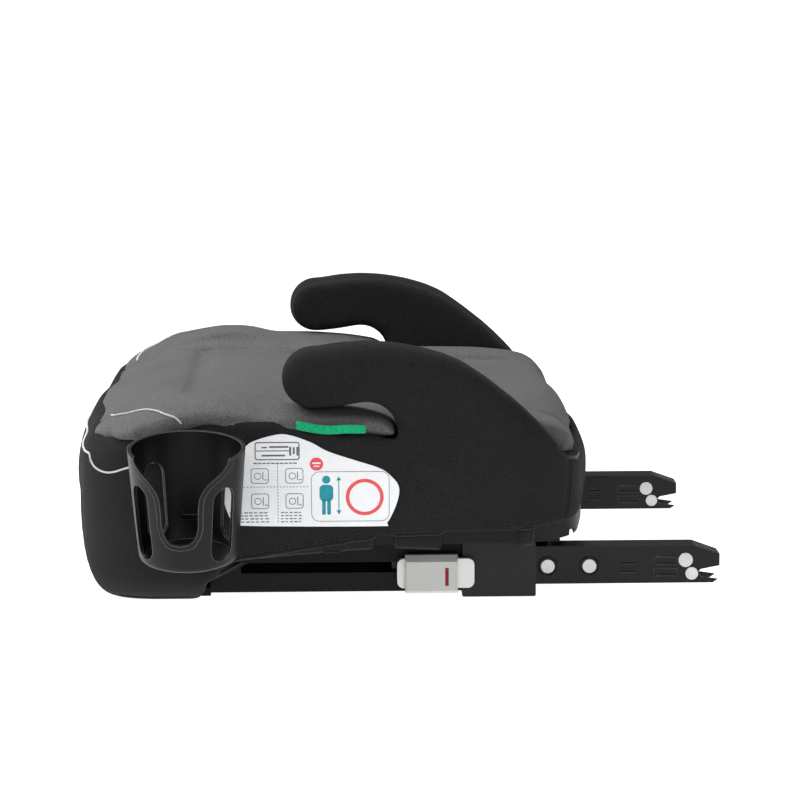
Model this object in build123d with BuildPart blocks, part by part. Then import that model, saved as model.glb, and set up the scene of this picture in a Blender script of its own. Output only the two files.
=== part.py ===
"""Backless child booster seat with two telescopic anchor arms and a clip-on cup holder.

Millimetres. +Z is up, the seat's front faces -Y, and +X is the side with the cup holder.
The origin is on the plane that the seat stands on, midway between the anchor arms.
"""

from build123d import *
from math import cos, radians, sin
import os

os.makedirs("parts", exist_ok=True)

# seat body
base_half_width = 203.0      # body half width at the floor
side_lean = 22.0             # how much further out each side is at lean_height
lean_height = 200.0
under_roll = [(-10.0, 79.0), (8.0, 18.0), (14.0, 8.0), (24.0, 0.0)]   # nose's lower edge, (z, in)
front_y = -200.0             # foremost point of the nose
rear_y = 201.0               # rearmost point of the back
corner_setback = 22.0        # how far the corners stand behind the middle of the nose
corner_radius = 62.0         # plan radius of the four corners
nose_top = 131.0             # height of the pad where it turns down over the nose
pad_front_height = 146.0     # seat height under the thighs
pad_rear_height = 138.0      # seat height at the back
bolster_height = 155.0       # crest of the thigh bolsters
hem_height = 45.0            # lower edge of the body over the guide rails
nose_bottom = 1.5            # lower edge of the cloth under the nose
lobe_rear_y = -92.0          # where the nose lobe ends and the rails begin
hem_line = [(lobe_rear_y, 20), (-73, 38), (37, 55), (150, 60), (rear_y + 19, 62)]   # cloth's edge
rim_line = [(-190, 112), (-150, 126), (-95, 141), (-20, 138), (25, 132), (60, 127),
            (150, 121), (190, 106)]   # where the pad meets the shell, (y, z)

cover_thickness = 5.0        # laminated cloth over the shell
shell_wall = 3.0
pad_cover_thickness = 4.0
tub_side_wall = 31.0         # from the body's side to the foam tub
tub_depth = 24.0             # foam thickness below the rim
tub_front_wall = 35.0        # from the foremost point to the tub
tub_rear_wall = 31.0
pad_edge_inset = 4.0         # the pad's edge stands this far inside the body's side
bolster_side = 53.0          # from the body's side to the foot of each bolster
bolster_foot_height = 147.0

# armrests
armrest_width = 44.0         # at the top
armrest_top = 199.0
armrest_tip_y = -34.5        # foremost point of the hook
hook_lip = 152.4             # underside of the hook, over the belt
hook_root_y = 49.0           # front face of the armrest's root
armrest_end_y = 178.0
belt_gap_floor = 18.0        # how far the pad is kept below the hook's lip
tab_front = -24.0            # belt guide tab
tab_rear = 25.4
tab_top = 141.0
tab_height = 7.0
tab_sag = 3.0                # its rear end is this much lower
tab_thickness = 1.0
label_gap = 0.1              # between the cloth and what is sewn on it
label_thickness = 0.5

# anchor arms
arm_spacing = 280.0          # between the two anchor arms
arm_width = 20.0
arm_bottom = 7.0
arm_top = 36.0
arm_sheet = 2.0
arm_inner_end = 45.0
arm_tip = 292.0
arm_travel = 110.0           # how far an arm pushes in
arm_clearance = 1.0          # between an arm's side and its guide
arm_lift = 0.5               # between an arm's top or bottom and its guide
stem_opening = (59.0, 93.0)  # in the arm's outer side, for the release slider's stem
bar_seat_radius = 3.2        # holds a 6 mm anchor bar
bar_seat_y = 279.5
bar_seat_z = 14.5
rivet_head = 0.5
rivet_line_z = 20.5
jaw_chamfer_y = 272.5
jaw_nose_z = 29.0
jaw_flare_up = 5.8           # the jaw mouth's height over the bar seat, at the tip
jaw_flare_down = 5.2
rib_depth = 0.8

pivot_y = 266.3
pivot_z = 24.6
pivot_radius = 2.5
pivot_clearance = 0.05
hook_swing = 22.0            # degrees from open to shut
hook_thickness = 4.5
hook_reach = 23.0
hook_hub_radius = 6.0
hook_tooth = 3.2             # width of the hook's tooth
fork_gap = 0.7               # between the hook and the pull rod's fork
fork_tine = 1.6
spring_wire = 0.8
spring_pitch = 1.1
spring_gap = 0.9             # between the hook and the spring
pull_pin_reach = 7.2         # from the pivot to the pin that the pull rod holds
pull_pin_radius = 1.2
pull_pin_clearance = 0.3

# guides and base
rail_outer_wall = 5.5
rail_front = -91.0
rail_front_wall = 5.0
rail_bottom = 4.0
rail_top = 46.5
slot_bottom = 18.5
slot_top = 26.5
bracket_front = 97.5
bracket_rear = 152.8
bracket_top = 42.0
bracket_outer_wall = 10.0
bracket_inner_wall = 8.0
bracket_round = 1.5
nose_plate_side = 53.0       # from the body's side to the nose plate
nose_plate_setback = 50.0    # from the foremost point to the nose plate
tray_gap = 5.0               # between the tray's side and the brackets
tray_rear = 165.0
flange_side = 21.0           # from the body's side to the tray's flange
flange_thickness = 3.5
tray_wall = 3.0
rib_drop = 12.0              # the tray's ribs stop this far below its top
fit_gap = 0.3                # between pieces that drop into one another
screw_radius = 2.0
screw_head_radius = 3.8
screw_head_height = 2.4
screw_slot = (4.5, 1.1, 2.0)
screw_hold = 4.0             # how far a screw goes into the piece below the flange
rail_screws = (-70.0, 40.0)
bracket_screws = (110.0, 140.0)

# release handle
handle_gap = 0.5             # to the rail's and the bracket's faces
slider_front = 48.8
slider_rear = 106.5
slider_low = 8.0
slider_high = 30.4
slider_thickness = 3.5
cap_front = 54.7
cap_rear = 94.0
cap_low = 4.8
cap_high = 33.4
cap_thickness = 4.5
indicator_y = 85.8
indicator_z = 17.5
indicator_width = 2.6
indicator_height = 13.7
stem_front = 62.0
stem_rear = 82.0
rod_half_width = 2.0
rod_height = 5.0

# cup holder
cup_y = -101.6
cup_foot = 53.0              # height of the cup's bottom
cup_length = 82.0            # along its own axis
cup_top_radius = 41.7
cup_bottom_radius = 35.5
cup_wall = 2.5
cup_floor = 3.0
cup_tilt = 8.0               # degrees, top outwards
window_height = 57.0
window_width = 13.0
window_sill = 2.5            # between the cup's floor and the windows
cup_turn = -6.0              # degrees, the front cut turned towards the nose
socket_low = 74.0
socket_high = 118.0
socket_half_width = 15.0
socket_block = 24.0          # depth of the socket before the body's side is cut away
socket_depth = 9.02          # socket's face, out from the body's side at the socket's top
front_cut = 12.5             # half the width of the cup's front cut
front_cut_bottom = 21.5
front_cut_flare = 30.0       # half its width over the rim
window_angles = (53, 131, 229, 307)
socket_lip = 2.5             # in front of the tongue's head
tongue_head = 3.0            # thickness of the tongue's T head
tongue_half_width = 8.0
neck_half_width = 4.9
tongue_clearance = 0.3
cup_gap = 0.5                # between the socket's face and the cup

# worked-out places
arm_centre = arm_spacing / 2
arm_outer = arm_centre + arm_width / 2
arm_inner = arm_centre - arm_width / 2
guide_outer = arm_outer + arm_clearance
guide_inner = arm_inner - arm_clearance
rail_face = guide_outer + rail_outer_wall
bracket_face = guide_outer + bracket_outer_wall
flange_top = rail_top + flange_thickness
lean_slope = side_lean / lean_height
armrest_inner = base_half_width + side_lean - armrest_width
tub_half_width = base_half_width - tub_side_wall
bolster_inner = base_half_width - bolster_side
nose_plate_half_width = base_half_width - nose_plate_side
nose_plate_front = front_y + nose_plate_setback
tray_half_width = guide_inner - bracket_inner_wall - tray_gap
flange_half_width = base_half_width - flange_side
socket_face = base_half_width + lean_slope * socket_high + socket_depth
rivet_places = [(162.4, rivet_line_z, 5.2), (193.8, rivet_line_z, 5.2),
                (pivot_y, pivot_z, 5.4), (271.0, 14.2, 4.8)]
rib_places = [(222.8, 23.2, 11.5, 2.6), (222.8, 16.7, 11.5, 2.6),
              (251.2, 24.2, 17.3, 6.2), (251.2, 15.6, 17.3, 6.2)]
handle_travel = 2 * pull_pin_reach * sin(radians(hook_swing / 2))
FAR = 400.0                  # beyond everything, for cutting blocks


def export_pair(name, shape):
    """Writes a left piece as it is and its mirror image for the right."""
    for side, piece in (("left", shape), ("right", mirror(shape, about=Plane.YZ))):
        piece.label = f"{name}_{side}"
        export_step(piece, f"parts/{name}_{side}.step")


def shrunk(outline, inset):
    """A closed outline moved inwards by inset."""
    if inset == 0:
        return outline.sketch
    return offset(outline.sketch, amount=-inset)


def plan(half_width, inset):
    """Seat outline seen from above."""
    front_side = front_y + corner_setback
    rear_side = rear_y - corner_setback
    with BuildSketch(Plane.XY) as outline:
        with BuildLine():
            ThreePointArc((-half_width, front_side), (0, front_y), (half_width, front_side))
            Line((half_width, front_side), (half_width, rear_side))
            ThreePointArc((half_width, rear_side), (0, rear_y), (-half_width, rear_side))
            Line((-half_width, rear_side), (-half_width, front_side))
        make_face()
        fillet(outline.vertices(), corner_radius)
    return shrunk(outline, inset)


def leaning_block(inset):
    """The plan raised from under the floor to above the armrests, leaning outwards."""
    with BuildPart() as block:
        for height, roll in (*under_roll, (lean_height + 10, 0)):
            with BuildSketch(Plane.XY.offset(height)):
                add(plan(base_half_width + height * lean_slope - roll, inset))
        loft(ruled=True)
    return block.part


def body_profile(inset):
    """Side outline of the body with its pad, without armrests."""
    rounded = [
        ((front_y + 28, nose_bottom), 30),
        ((front_y - 9, 76), 90),
        ((front_y + 19, nose_top), 24),
        ((-112, pad_front_height + 1), 120),
        ((30, pad_rear_height + 1), 400),
        ((rear_y - 26, pad_rear_height - 2), 26),
        ((rear_y + 5, 82), 60),
        ((rear_y - 5, hem_height), 8),
    ]
    corners = [place for place, _ in rounded]
    with BuildSketch(Plane.XY) as outline:
        with BuildLine():
            Polyline((lobe_rear_y + 65, hem_height), hem_line[1], hem_line[0],
                     (lobe_rear_y - 6, nose_bottom), *corners, close=True)
        make_face()
        for (y, z), radius in rounded:
            fillet(outline.vertices().sort_by_distance((y, z, 0))[0], radius)
    return shrunk(outline, inset)


def armrest_profile(inset):
    """Side outline of one armrest, a hook open to the front."""
    lip = (-13, hook_lip)
    crown = (-8.5, armrest_top - 3.2)
    shoulder = (94.6, armrest_top - 14.6)
    throat = (17.7, hook_lip + 3.6)
    root = (hook_root_y, 140)
    heel = (armrest_end_y, 112)
    with BuildSketch(Plane.XY) as outline:
        with BuildLine():
            ThreePointArc(lip, (armrest_tip_y, (hook_lip + armrest_top) / 2 - 1), crown)
            ThreePointArc(crown, (38, armrest_top), shoulder)
            ThreePointArc(shoulder, (140.7, 149.5), heel)
            Polyline(heel, (armrest_end_y, 90), (hook_root_y, 90), root)
            ThreePointArc(root, (41, 152), throat)
            ThreePointArc(throat, (3, hook_lip + 1.4), lip)
        make_face()
    return shrunk(outline, inset)


def below_rim(drop):
    """Everything below the rim that the pad sits on, lowered by drop."""
    rim = [(-FAR, 100), *rim_line, (FAR, 95)]
    with BuildPart() as block:
        with BuildSketch(Plane.YZ):
            with BuildLine():
                Polyline(*[(y, z - drop) for y, z in rim], (FAR, -FAR), (-FAR, -FAR),
                         close=True)
            make_face()
        extrude(amount=FAR, both=True)
    return block.part


def body(inset):
    """The body with its pad, shrunk by inset all round."""
    with BuildPart() as block:
        with BuildSketch(Plane.YZ):
            add(body_profile(inset))
        extrude(amount=FAR, both=True)
        add(leaning_block(inset), mode=Mode.INTERSECT)
    return block.part


def armrests(inset):
    """Both armrests above the rim, shrunk by inset all round."""
    with BuildPart() as block:
        with BuildSketch(Plane.YZ):
            add(armrest_profile(inset))
        extrude(amount=FAR, both=True)
        with BuildSketch(Plane.YZ):
            Rectangle(2 * FAR, 2 * FAR)
        extrude(amount=armrest_inner + inset, both=True, mode=Mode.SUBTRACT)
        add(leaning_block(inset), mode=Mode.INTERSECT)
        add(rim_block, mode=Mode.SUBTRACT)
    return block.part


def span_box(low, high, mode=Mode.ADD):
    """A box between two corners."""
    with Locations(tuple((a + b) / 2 for a, b in zip(low, high))):
        Box(*(b - a for a, b in zip(low, high)), mode=mode)


rim_block = below_rim(0)
deck_block = below_rim(tub_depth)
cavity_block = below_rim(tub_depth + shell_wall)
outer_body = body(0)
inner_body = body(cover_thickness)
hollow_body = body(cover_thickness + shell_wall)
outer_armrests = armrests(0)
inner_armrests = armrests(cover_thickness)

# shell
with BuildPart() as tub_column:
    span_box((-tub_half_width, front_y + tub_front_wall, 0),
             (tub_half_width, rear_y - tub_rear_wall, FAR))
with BuildPart() as tub:
    add(tub_column.part)
    add(deck_block, mode=Mode.SUBTRACT)
with BuildPart() as cavity:
    add(hollow_body)
    add(cavity_block, mode=Mode.INTERSECT)
with BuildPart() as seat_shell:
    add(inner_body)
    add(rim_block, mode=Mode.INTERSECT)
    add(tub.part, mode=Mode.SUBTRACT)
    add(cavity.part, mode=Mode.SUBTRACT)
    shell_bottom = hem_height + cover_thickness
    floor_half = flange_half_width - 2 * shell_wall
    floor_rear = rear_y - corner_setback + 1
    span_box((-floor_half, lobe_rear_y, 0),
             (floor_half, floor_rear, shell_bottom + shell_wall + 1), mode=Mode.SUBTRACT)
    span_box((-flange_half_width - fit_gap, lobe_rear_y, 0),
             (flange_half_width + fit_gap, floor_rear, shell_bottom), mode=Mode.SUBTRACT)
seat_shell.part.label = "seat_shell"
export_step(seat_shell.part, "parts/seat_shell.step")

# armrest cores
with BuildPart() as armrest_core:
    add(inner_armrests)
    span_box((-FAR, -FAR, -FAR), (0, FAR, FAR), mode=Mode.SUBTRACT)
export_pair("armrest_core", armrest_core.part)

# black cover
with BuildPart() as side_cover:
    add(outer_body)
    add(rim_block, mode=Mode.INTERSECT)
    add(outer_armrests)
    add(inner_body, mode=Mode.SUBTRACT)
    add(inner_armrests, mode=Mode.SUBTRACT)
    under = cover_thickness + label_gap
    cloth_half = base_half_width - shell_wall
    span_box((-nose_plate_half_width - fit_gap, nose_plate_front - fit_gap, -1),
             (nose_plate_half_width + fit_gap, lobe_rear_y + 1, nose_bottom + under),
             mode=Mode.SUBTRACT)
    span_box((-cloth_half, lobe_rear_y, 0), (cloth_half, rear_y - 13, hem_height + under),
             mode=Mode.SUBTRACT)
    with BuildSketch(Plane.YZ):
        with BuildLine():
            Polyline(*hem_line, (hem_line[-1][0], 0), (hem_line[0][0], 0), close=True)
        make_face()
    extrude(amount=FAR, both=True, mode=Mode.SUBTRACT)
side_cover.part.label = "side_cover"
export_step(side_cover.part, "parts/side_cover.step")

# pad: foam and grey cover
def pad_block(inset):
    """The body up to the pad's top, with the two thigh bolsters, shrunk by inset."""
    with BuildPart() as block:
        with BuildSketch(Plane.YZ):
            add(body_profile(inset))
        extrude(amount=FAR, both=True)
        with BuildSketch(Plane.YZ):
            with BuildLine():
                Spline((-170, 126), (-150, 138), (-105, bolster_height - inset),
                       (-46, bolster_height - 8 - inset), (-16, pad_front_height - 8 - inset))
                Polyline((-16, pad_front_height - 8 - inset), (-16, 120), (-170, 120),
                         (-170, 126))
            make_face()
        extrude(amount=FAR, both=True)
        span_box((-bolster_inner, front_y, bolster_foot_height), (bolster_inner, 0, FAR),
                 mode=Mode.SUBTRACT)
        add(leaning_block(pad_edge_inset + inset), mode=Mode.INTERSECT)
    return block.part


with BuildPart() as pad_whole:
    add(pad_block(0))
    add(rim_block, mode=Mode.SUBTRACT)
    add(outer_armrests, mode=Mode.SUBTRACT)
    for side in (-1, 1):
        belt_side = sorted((side * armrest_inner, side * FAR))
        span_box((belt_side[0], armrest_tip_y, hook_lip - belt_gap_floor),
                 (belt_side[1], hook_root_y, FAR), mode=Mode.SUBTRACT)
        span_box((belt_side[0], hook_root_y, 0), (belt_side[1], FAR, FAR),
                 mode=Mode.SUBTRACT)
with BuildPart() as seat_foam:
    add(tub.part)
    add(rim_block, mode=Mode.INTERSECT)
    add(tub_column.part)
    add(deck_block, mode=Mode.SUBTRACT)
    add(pad_block(pad_cover_thickness), mode=Mode.INTERSECT)
    add(inner_body, mode=Mode.INTERSECT)
seat_foam.part.label = "seat_foam"
export_step(seat_foam.part, "parts/seat_foam.step")
with BuildPart() as pad_cover:
    add(pad_whole.part)
    add(seat_foam.part, mode=Mode.SUBTRACT)
pad_cover.part.label = "pad_cover"
export_step(pad_cover.part, "parts/pad_cover.step")

# belt guide tabs
def skin(near, far):
    """A thin layer over the body's leaning side, between two distances from it."""
    with BuildPart() as layer:
        add(leaning_block(-far))
        add(leaning_block(-near), mode=Mode.SUBTRACT)
    return layer.part


with BuildPart() as belt_tab:
    with BuildSketch(Plane.YZ):
        with BuildLine():
            tab_middle = (tab_front + tab_rear) / 2
            upper = ThreePointArc((tab_front, tab_top), (tab_middle, tab_top - 2),
                                  (tab_rear, tab_top - tab_sag))
            lower = ThreePointArc((tab_front, tab_top - tab_height),
                                  (tab_middle, tab_top - tab_height - 1.8),
                                  (tab_rear, tab_top - tab_height - tab_sag))
            Line(upper @ 0, lower @ 0)
            Line(upper @ 1, lower @ 1)
        make_face()
    extrude(amount=FAR)
    add(skin(2 * label_gap, 2 * label_gap + tab_thickness), mode=Mode.INTERSECT)
export_pair("belt_tab", belt_tab.part)

# side label
with BuildPart() as side_label:
    with BuildSketch(Plane.YZ):
        with BuildLine():
            foot = Line((-60, 65), (32, 64.5))
            tip = Spline(foot @ 1, (43, 71), (49, 92), (36, 107.5), tangents=((1, 0), (-1, 0.4)))
            brow = Spline(tip @ 1, (-3, 121), (-22, 130), (-37, 133), (-62, 124), (-79, 93),
                          (-72, 71), foot @ 0, tangents=((-1, 0.4), (1, -0.1)))
        make_face()
    extrude(amount=FAR)
    add(skin(label_gap, label_gap + label_thickness), mode=Mode.INTERSECT)
side_label.part.label = "side_label"
export_step(side_label.part, "parts/side_label.step")

# base tray
screw_spots = [(side * arm_centre, y, flange_top) for y in (*rail_screws, *bracket_screws)
               for side in (-1, 1)]
with BuildPart() as base_tray:
    span_box((-nose_plate_half_width, nose_plate_front, 0),
             (nose_plate_half_width, rail_front, nose_bottom + cover_thickness))
    span_box((-tray_half_width, rail_front, 0), (tray_half_width, tray_rear, rail_top))
    span_box((-tray_half_width + tray_wall, rail_front + tray_wall, tray_wall),
             (tray_half_width - tray_wall, tray_rear - tray_wall, rail_top),
             mode=Mode.SUBTRACT)
    for y in (-30, 40, 110):
        span_box((-tray_half_width, y, 0), (tray_half_width, y + tray_wall, rail_top - rib_drop))
    for x in (-50, 50):
        span_box((x, rail_front, 0), (x + tray_wall, tray_rear, rail_top - rib_drop))
    span_box((-flange_half_width, rail_front + 2, rail_top),
             (flange_half_width, tray_rear + 4, flange_top))
    span_box((-tray_half_width + tray_wall, rail_front + 6, rail_top),
             (tray_half_width - tray_wall, tray_rear - tray_wall, flange_top),
             mode=Mode.SUBTRACT)
    with Locations(screw_spots):
        Hole(screw_radius, depth=flange_thickness)
base_tray.part.label = "base_tray"
export_step(base_tray.part, "parts/base_tray.step")

with BuildPart() as frame_screws:
    with Locations(screw_spots):
        Cylinder(screw_head_radius, screw_head_height,
                 align=(Align.CENTER, Align.CENTER, Align.MIN))
        Cylinder(screw_radius, flange_thickness + screw_hold,
                 align=(Align.CENTER, Align.CENTER, Align.MAX))
    slot_length, slot_width, slot_cut = screw_slot
    with Locations([(x, y, z + screw_head_height) for x, y, z in screw_spots]):
        Box(slot_length, slot_width, slot_cut, mode=Mode.SUBTRACT)
        Box(slot_width, slot_length, slot_cut, mode=Mode.SUBTRACT)
frame_screws.part.label = "frame_screws"
export_step(frame_screws.part, "parts/frame_screws.step")

# guide rails
with BuildPart() as guide_rail:
    span_box((guide_inner - rail_outer_wall, rail_front, rail_bottom),
             (rail_face, bracket_front, rail_top))
    span_box((guide_inner, rail_front + rail_front_wall, arm_bottom - arm_lift),
             (guide_outer, bracket_front, arm_top + arm_lift), mode=Mode.SUBTRACT)
    span_box((guide_outer - 1, arm_inner_end - arm_travel - 3, slot_bottom),
             (rail_face + 1, bracket_front, slot_top), mode=Mode.SUBTRACT)
    with Locations([(arm_centre, y, rail_top) for y in rail_screws]):
        Hole(screw_radius, depth=screw_hold)
export_pair("guide_rail", guide_rail.part)

# arm brackets
with BuildPart() as arm_bracket:
    span_box((guide_inner - bracket_inner_wall, bracket_front, 0),
             (bracket_face, bracket_rear, bracket_top))
    fillet(arm_bracket.edges().filter_by(Axis.X), bracket_round)
    fillet(arm_bracket.edges().group_by(Axis.X)[-1], bracket_round / 2)
    span_box((guide_inner - 5, bracket_front + 2, bracket_top),
             (guide_outer + 5, bracket_rear - 2, rail_top))
    span_box((guide_inner, bracket_front - 1, arm_bottom - arm_lift),
             (guide_outer, bracket_rear + 1, arm_top + arm_lift), mode=Mode.SUBTRACT)
    with Locations([(arm_centre, y, rail_top) for y in bracket_screws]):
        Hole(screw_radius, depth=screw_hold)
export_pair("arm_bracket", arm_bracket.part)

# anchor arm
with BuildPart() as anchor_arm:
    with BuildSketch(Plane.YZ.offset(arm_inner)):
        with BuildLine():
            Polyline((arm_inner_end, arm_bottom), (arm_tip - 5, arm_bottom),
                     (arm_tip, arm_bottom + 3.5), (arm_tip, jaw_nose_z),
                     (jaw_chamfer_y, arm_top), (arm_inner_end, arm_top), close=True)
        make_face()
    extrude(amount=arm_width)
    # the sheet is folded over the top and the nose, and open below and inwards
    with BuildSketch(Plane.YZ.offset(arm_inner + arm_sheet)):
        with BuildLine():
            Polyline((arm_inner_end - 1, arm_bottom - 1), (arm_tip + 1, arm_bottom - 1),
                     (arm_tip + 1, bar_seat_z), (arm_tip - arm_sheet, bar_seat_z),
                     (arm_tip - arm_sheet, jaw_nose_z - arm_sheet / 2),
                     (jaw_chamfer_y - arm_sheet / 3, arm_top - arm_sheet),
                     (arm_inner_end - 1, arm_top - arm_sheet), close=True)
        make_face()
    extrude(amount=arm_width - 2 * arm_sheet, mode=Mode.SUBTRACT)
    with BuildSketch(Plane.YZ.offset(arm_inner - 1)):
        with BuildLine():
            Polyline(
                (bar_seat_y, bar_seat_z + bar_seat_radius),
                (arm_tip + 1, bar_seat_z + jaw_flare_up),
                (arm_tip + 1, bar_seat_z - jaw_flare_down),
                (bar_seat_y, bar_seat_z - bar_seat_radius),
                close=True,
            )
        make_face()
        with Locations((bar_seat_y, bar_seat_z)):
            Circle(bar_seat_radius)
    extrude(amount=arm_width + 2, mode=Mode.SUBTRACT)
    # opening for the release slider's stem
    span_box((arm_outer - arm_sheet - 1, stem_opening[0], slot_bottom + arm_lift),
             (arm_outer + 1, stem_opening[1], slot_top - arm_lift), mode=Mode.SUBTRACT)
    # pressed-in ribs on both side plates
    for face_x in (arm_inner, arm_outer):
        for y, z, length, height in rib_places:
            with Locations((face_x, y, z)):
                Box(2 * rib_depth, length, height, mode=Mode.SUBTRACT)
    for y, z, _ in rivet_places:
        with Locations((arm_inner, y, z)):
            Cylinder(pivot_radius, 2 * arm_width + 2, rotation=(0, 90, 0), mode=Mode.SUBTRACT)
export_pair("anchor_arm", anchor_arm.part)

with BuildPart() as arm_rivets:
    for y, z, head in rivet_places:
        with Locations((arm_centre, y, z)):
            Cylinder(pivot_radius, arm_width, rotation=(0, 90, 0))
        for side in (-1, 1):
            with Locations((arm_centre + side * (arm_width + rivet_head) / 2, y, z)):
                Cylinder(head, rivet_head, rotation=(0, 90, 0))
export_pair("arm_rivets", arm_rivets.part)

# latch hook, shown open
fork_inner = hook_thickness / 2 + fork_gap
fork_outer = fork_inner + fork_tine
fork_low = pivot_z + 4.5
fork_high = pivot_z + pull_pin_reach + fork_tine


def polar(radius, angle):
    """A point about the latch pivot; angle is that of the shut hook, turned open."""
    turned = radians(angle + hook_swing)
    return pivot_y + radius * cos(turned), pivot_z + radius * sin(turned)


with BuildPart() as latch_hook:
    with BuildSketch(Plane.YZ.offset(arm_centre - hook_thickness / 2)):
        with BuildLine():
            Polyline(polar(5.5, 60), polar(hook_reach, -14), polar(hook_reach, -22),
                     polar(hook_reach, -34), polar(hook_reach - hook_tooth, -34),
                     polar(hook_reach - hook_tooth, -22), polar(5.5, -45), close=True)
        make_face()
        with Locations((pivot_y, pivot_z)):
            Circle(hook_hub_radius)
        with Locations(polar(pull_pin_reach - 2, 90 - hook_swing / 2)):
            Circle(hook_hub_radius / 2)
        with Locations((pivot_y, pivot_z)):
            Circle(pivot_radius + pivot_clearance, mode=Mode.SUBTRACT)
    extrude(amount=hook_thickness)
    pin_y, pin_z = polar(pull_pin_reach, 90 - hook_swing / 2)
    with Locations((arm_centre, pin_y, pin_z)):
        Cylinder(pull_pin_radius, 2 * fork_outer, rotation=(0, 90, 0))
export_pair("latch_hook", latch_hook.part)

# latch spring, on the pivot
spring_radius = pivot_radius + spring_pitch
with BuildPart() as latch_spring:
    for turn in range(3):
        coil_x = (arm_centre + hook_thickness / 2 + spring_gap + spring_wire / 2
                  + turn * spring_pitch)
        with Locations(Location((coil_x, pivot_y, pivot_z), (0, 90, 0))):
            Torus(spring_radius, spring_wire / 2)
export_pair("latch_spring", latch_spring.part)

# pull rod and release slider
rod_low = slot_top
rod_high = rod_low + rod_height
fork_root = pivot_y - 24
with BuildPart() as pull_rod:
    span_box((arm_centre - rod_half_width, stem_rear, rod_low),
             (arm_centre + rod_half_width, fork_root, rod_high))
    span_box((arm_centre - fork_outer, fork_root - 4, fork_low - 1),
             (arm_centre + fork_outer, fork_root, rod_high + 1))
    for side in (-1, 1):
        tine = sorted((arm_centre + side * fork_inner, arm_centre + side * fork_outer))
        span_box((tine[0], fork_root, fork_low), (tine[1], pin_y + 4, fork_high))
    notch = pull_pin_radius + pull_pin_clearance
    span_box((arm_centre - fork_outer, pin_y - notch, pin_z - notch),
             (arm_centre + fork_outer, pin_y + notch, fork_high), mode=Mode.SUBTRACT)
export_pair("pull_rod", pull_rod.part)

plate_in = bracket_face + handle_gap
plate_out = plate_in + slider_thickness
cap_face = plate_out + cap_thickness
indicator_depth = 1.5
with BuildPart() as release_slider:
    span_box((plate_in, slider_front, slider_low), (plate_out, slider_rear, slider_high))
    fillet(release_slider.edges().filter_by(Axis.X), 5.0)
    span_box((rail_face + handle_gap, slider_front + 3, slider_low + 2),
             (plate_in, cap_rear - handle_travel - 1, slider_high - 2))
    span_box((arm_centre - rod_half_width, stem_front, slot_bottom + 2),
             (rail_face + handle_gap, stem_rear, slot_top - 2))
    span_box((arm_centre - rod_half_width, stem_front, slot_bottom + 2),
             (arm_outer - arm_sheet - 1, stem_rear, rod_high))
export_pair("release_slider", release_slider.part)

with BuildPart() as release_cap:
    span_box((plate_in, cap_front, cap_low), (plate_out + cap_thickness, cap_rear, cap_high))
    outer_edges = release_cap.faces().sort_by(Axis.X)[-1].edges()
    chamfer(outer_edges.sort_by(Axis.Z)[-1], 4.5)
    chamfer(release_cap.faces().sort_by(Axis.X)[-1].edges().sort_by(Axis.Z)[0], 2.0)
    chamfer(release_cap.faces().sort_by(Axis.X)[-1].edges().filter_by(Axis.Z), 1.2)
    span_box((plate_in - 1, cap_front - 1, slider_low), (plate_out, cap_rear + 1, slider_high),
             mode=Mode.SUBTRACT)
    with Locations((cap_face, indicator_y, indicator_z)):
        Box(2 * indicator_depth, indicator_width, indicator_height, mode=Mode.SUBTRACT)
export_pair("release_cap", release_cap.part)

with BuildPart() as lock_indicator:
    span_box((cap_face - indicator_depth, indicator_y - indicator_width / 2,
              indicator_z - indicator_height / 2),
             (cap_face - 0.2, indicator_y + indicator_width / 2,
              indicator_z + indicator_height / 2))
export_pair("lock_indicator", lock_indicator.part)

# cup holder and its socket
neck_start = socket_face - socket_lip
head_start = neck_start - tongue_head - 2 * tongue_clearance
socket_floor = socket_low + 4.0
with BuildPart() as cup_socket:
    span_box((socket_face - socket_block, cup_y - socket_half_width, socket_low),
             (socket_face, cup_y + socket_half_width, socket_high))
    fillet(cup_socket.edges().filter_by(Axis.X), 3.0)
    add(leaning_block(-0.1), mode=Mode.SUBTRACT)
    span_box((head_start, cup_y - tongue_half_width - tongue_clearance, socket_floor),
             (neck_start, cup_y + tongue_half_width + tongue_clearance, socket_high + 1),
             mode=Mode.SUBTRACT)
    span_box((head_start, cup_y - neck_half_width - tongue_clearance, socket_floor),
             (socket_face + 1, cup_y + neck_half_width + tongue_clearance, socket_high + 1),
             mode=Mode.SUBTRACT)
cup_socket.part.label = "cup_socket"
export_step(cup_socket.part, "parts/cup_socket.step")

tilt = radians(cup_tilt)
socket_share = (socket_high - cup_foot) / cup_length
radius_at_socket = cup_bottom_radius + (cup_top_radius - cup_bottom_radius) * socket_share
foot_reach = cup_bottom_radius * cos(tilt)
socket_reach = radius_at_socket * cos(tilt) - (socket_high - cup_foot) * sin(tilt)
cup_axis = Vector(sin(tilt), 0, cos(tilt))
cup_side = Vector(cos(tilt), 0, -sin(tilt))
cup_origin = Vector(socket_face + cup_gap + max(foot_reach, socket_reach), cup_y, cup_foot)
cup_section = Plane(origin=cup_origin, x_dir=cup_side, z_dir=Vector(0, -1, 0))


def cup_cone(shrink, floor, rise):
    """A truncated cone on the cup's axis, shrunk by the wall and starting at floor."""
    with BuildPart() as cone:
        with BuildSketch(cup_section):
            with BuildLine():
                Polyline((0, floor), (cup_bottom_radius - shrink, floor),
                         (cup_top_radius - shrink, cup_length + rise),
                         (0, cup_length + rise), close=True)
            make_face()
        revolve(axis=Axis(cup_origin, cup_axis))
    return cone.part


def facing_plane(angle):
    """A plane through the cup's axis, its normal turned by angle from the outward side."""
    normal = cup_side * cos(radians(angle)) + Vector(0, 1, 0) * sin(radians(angle))
    return Plane(origin=cup_origin, x_dir=cup_axis.cross(normal), z_dir=normal)


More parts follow.
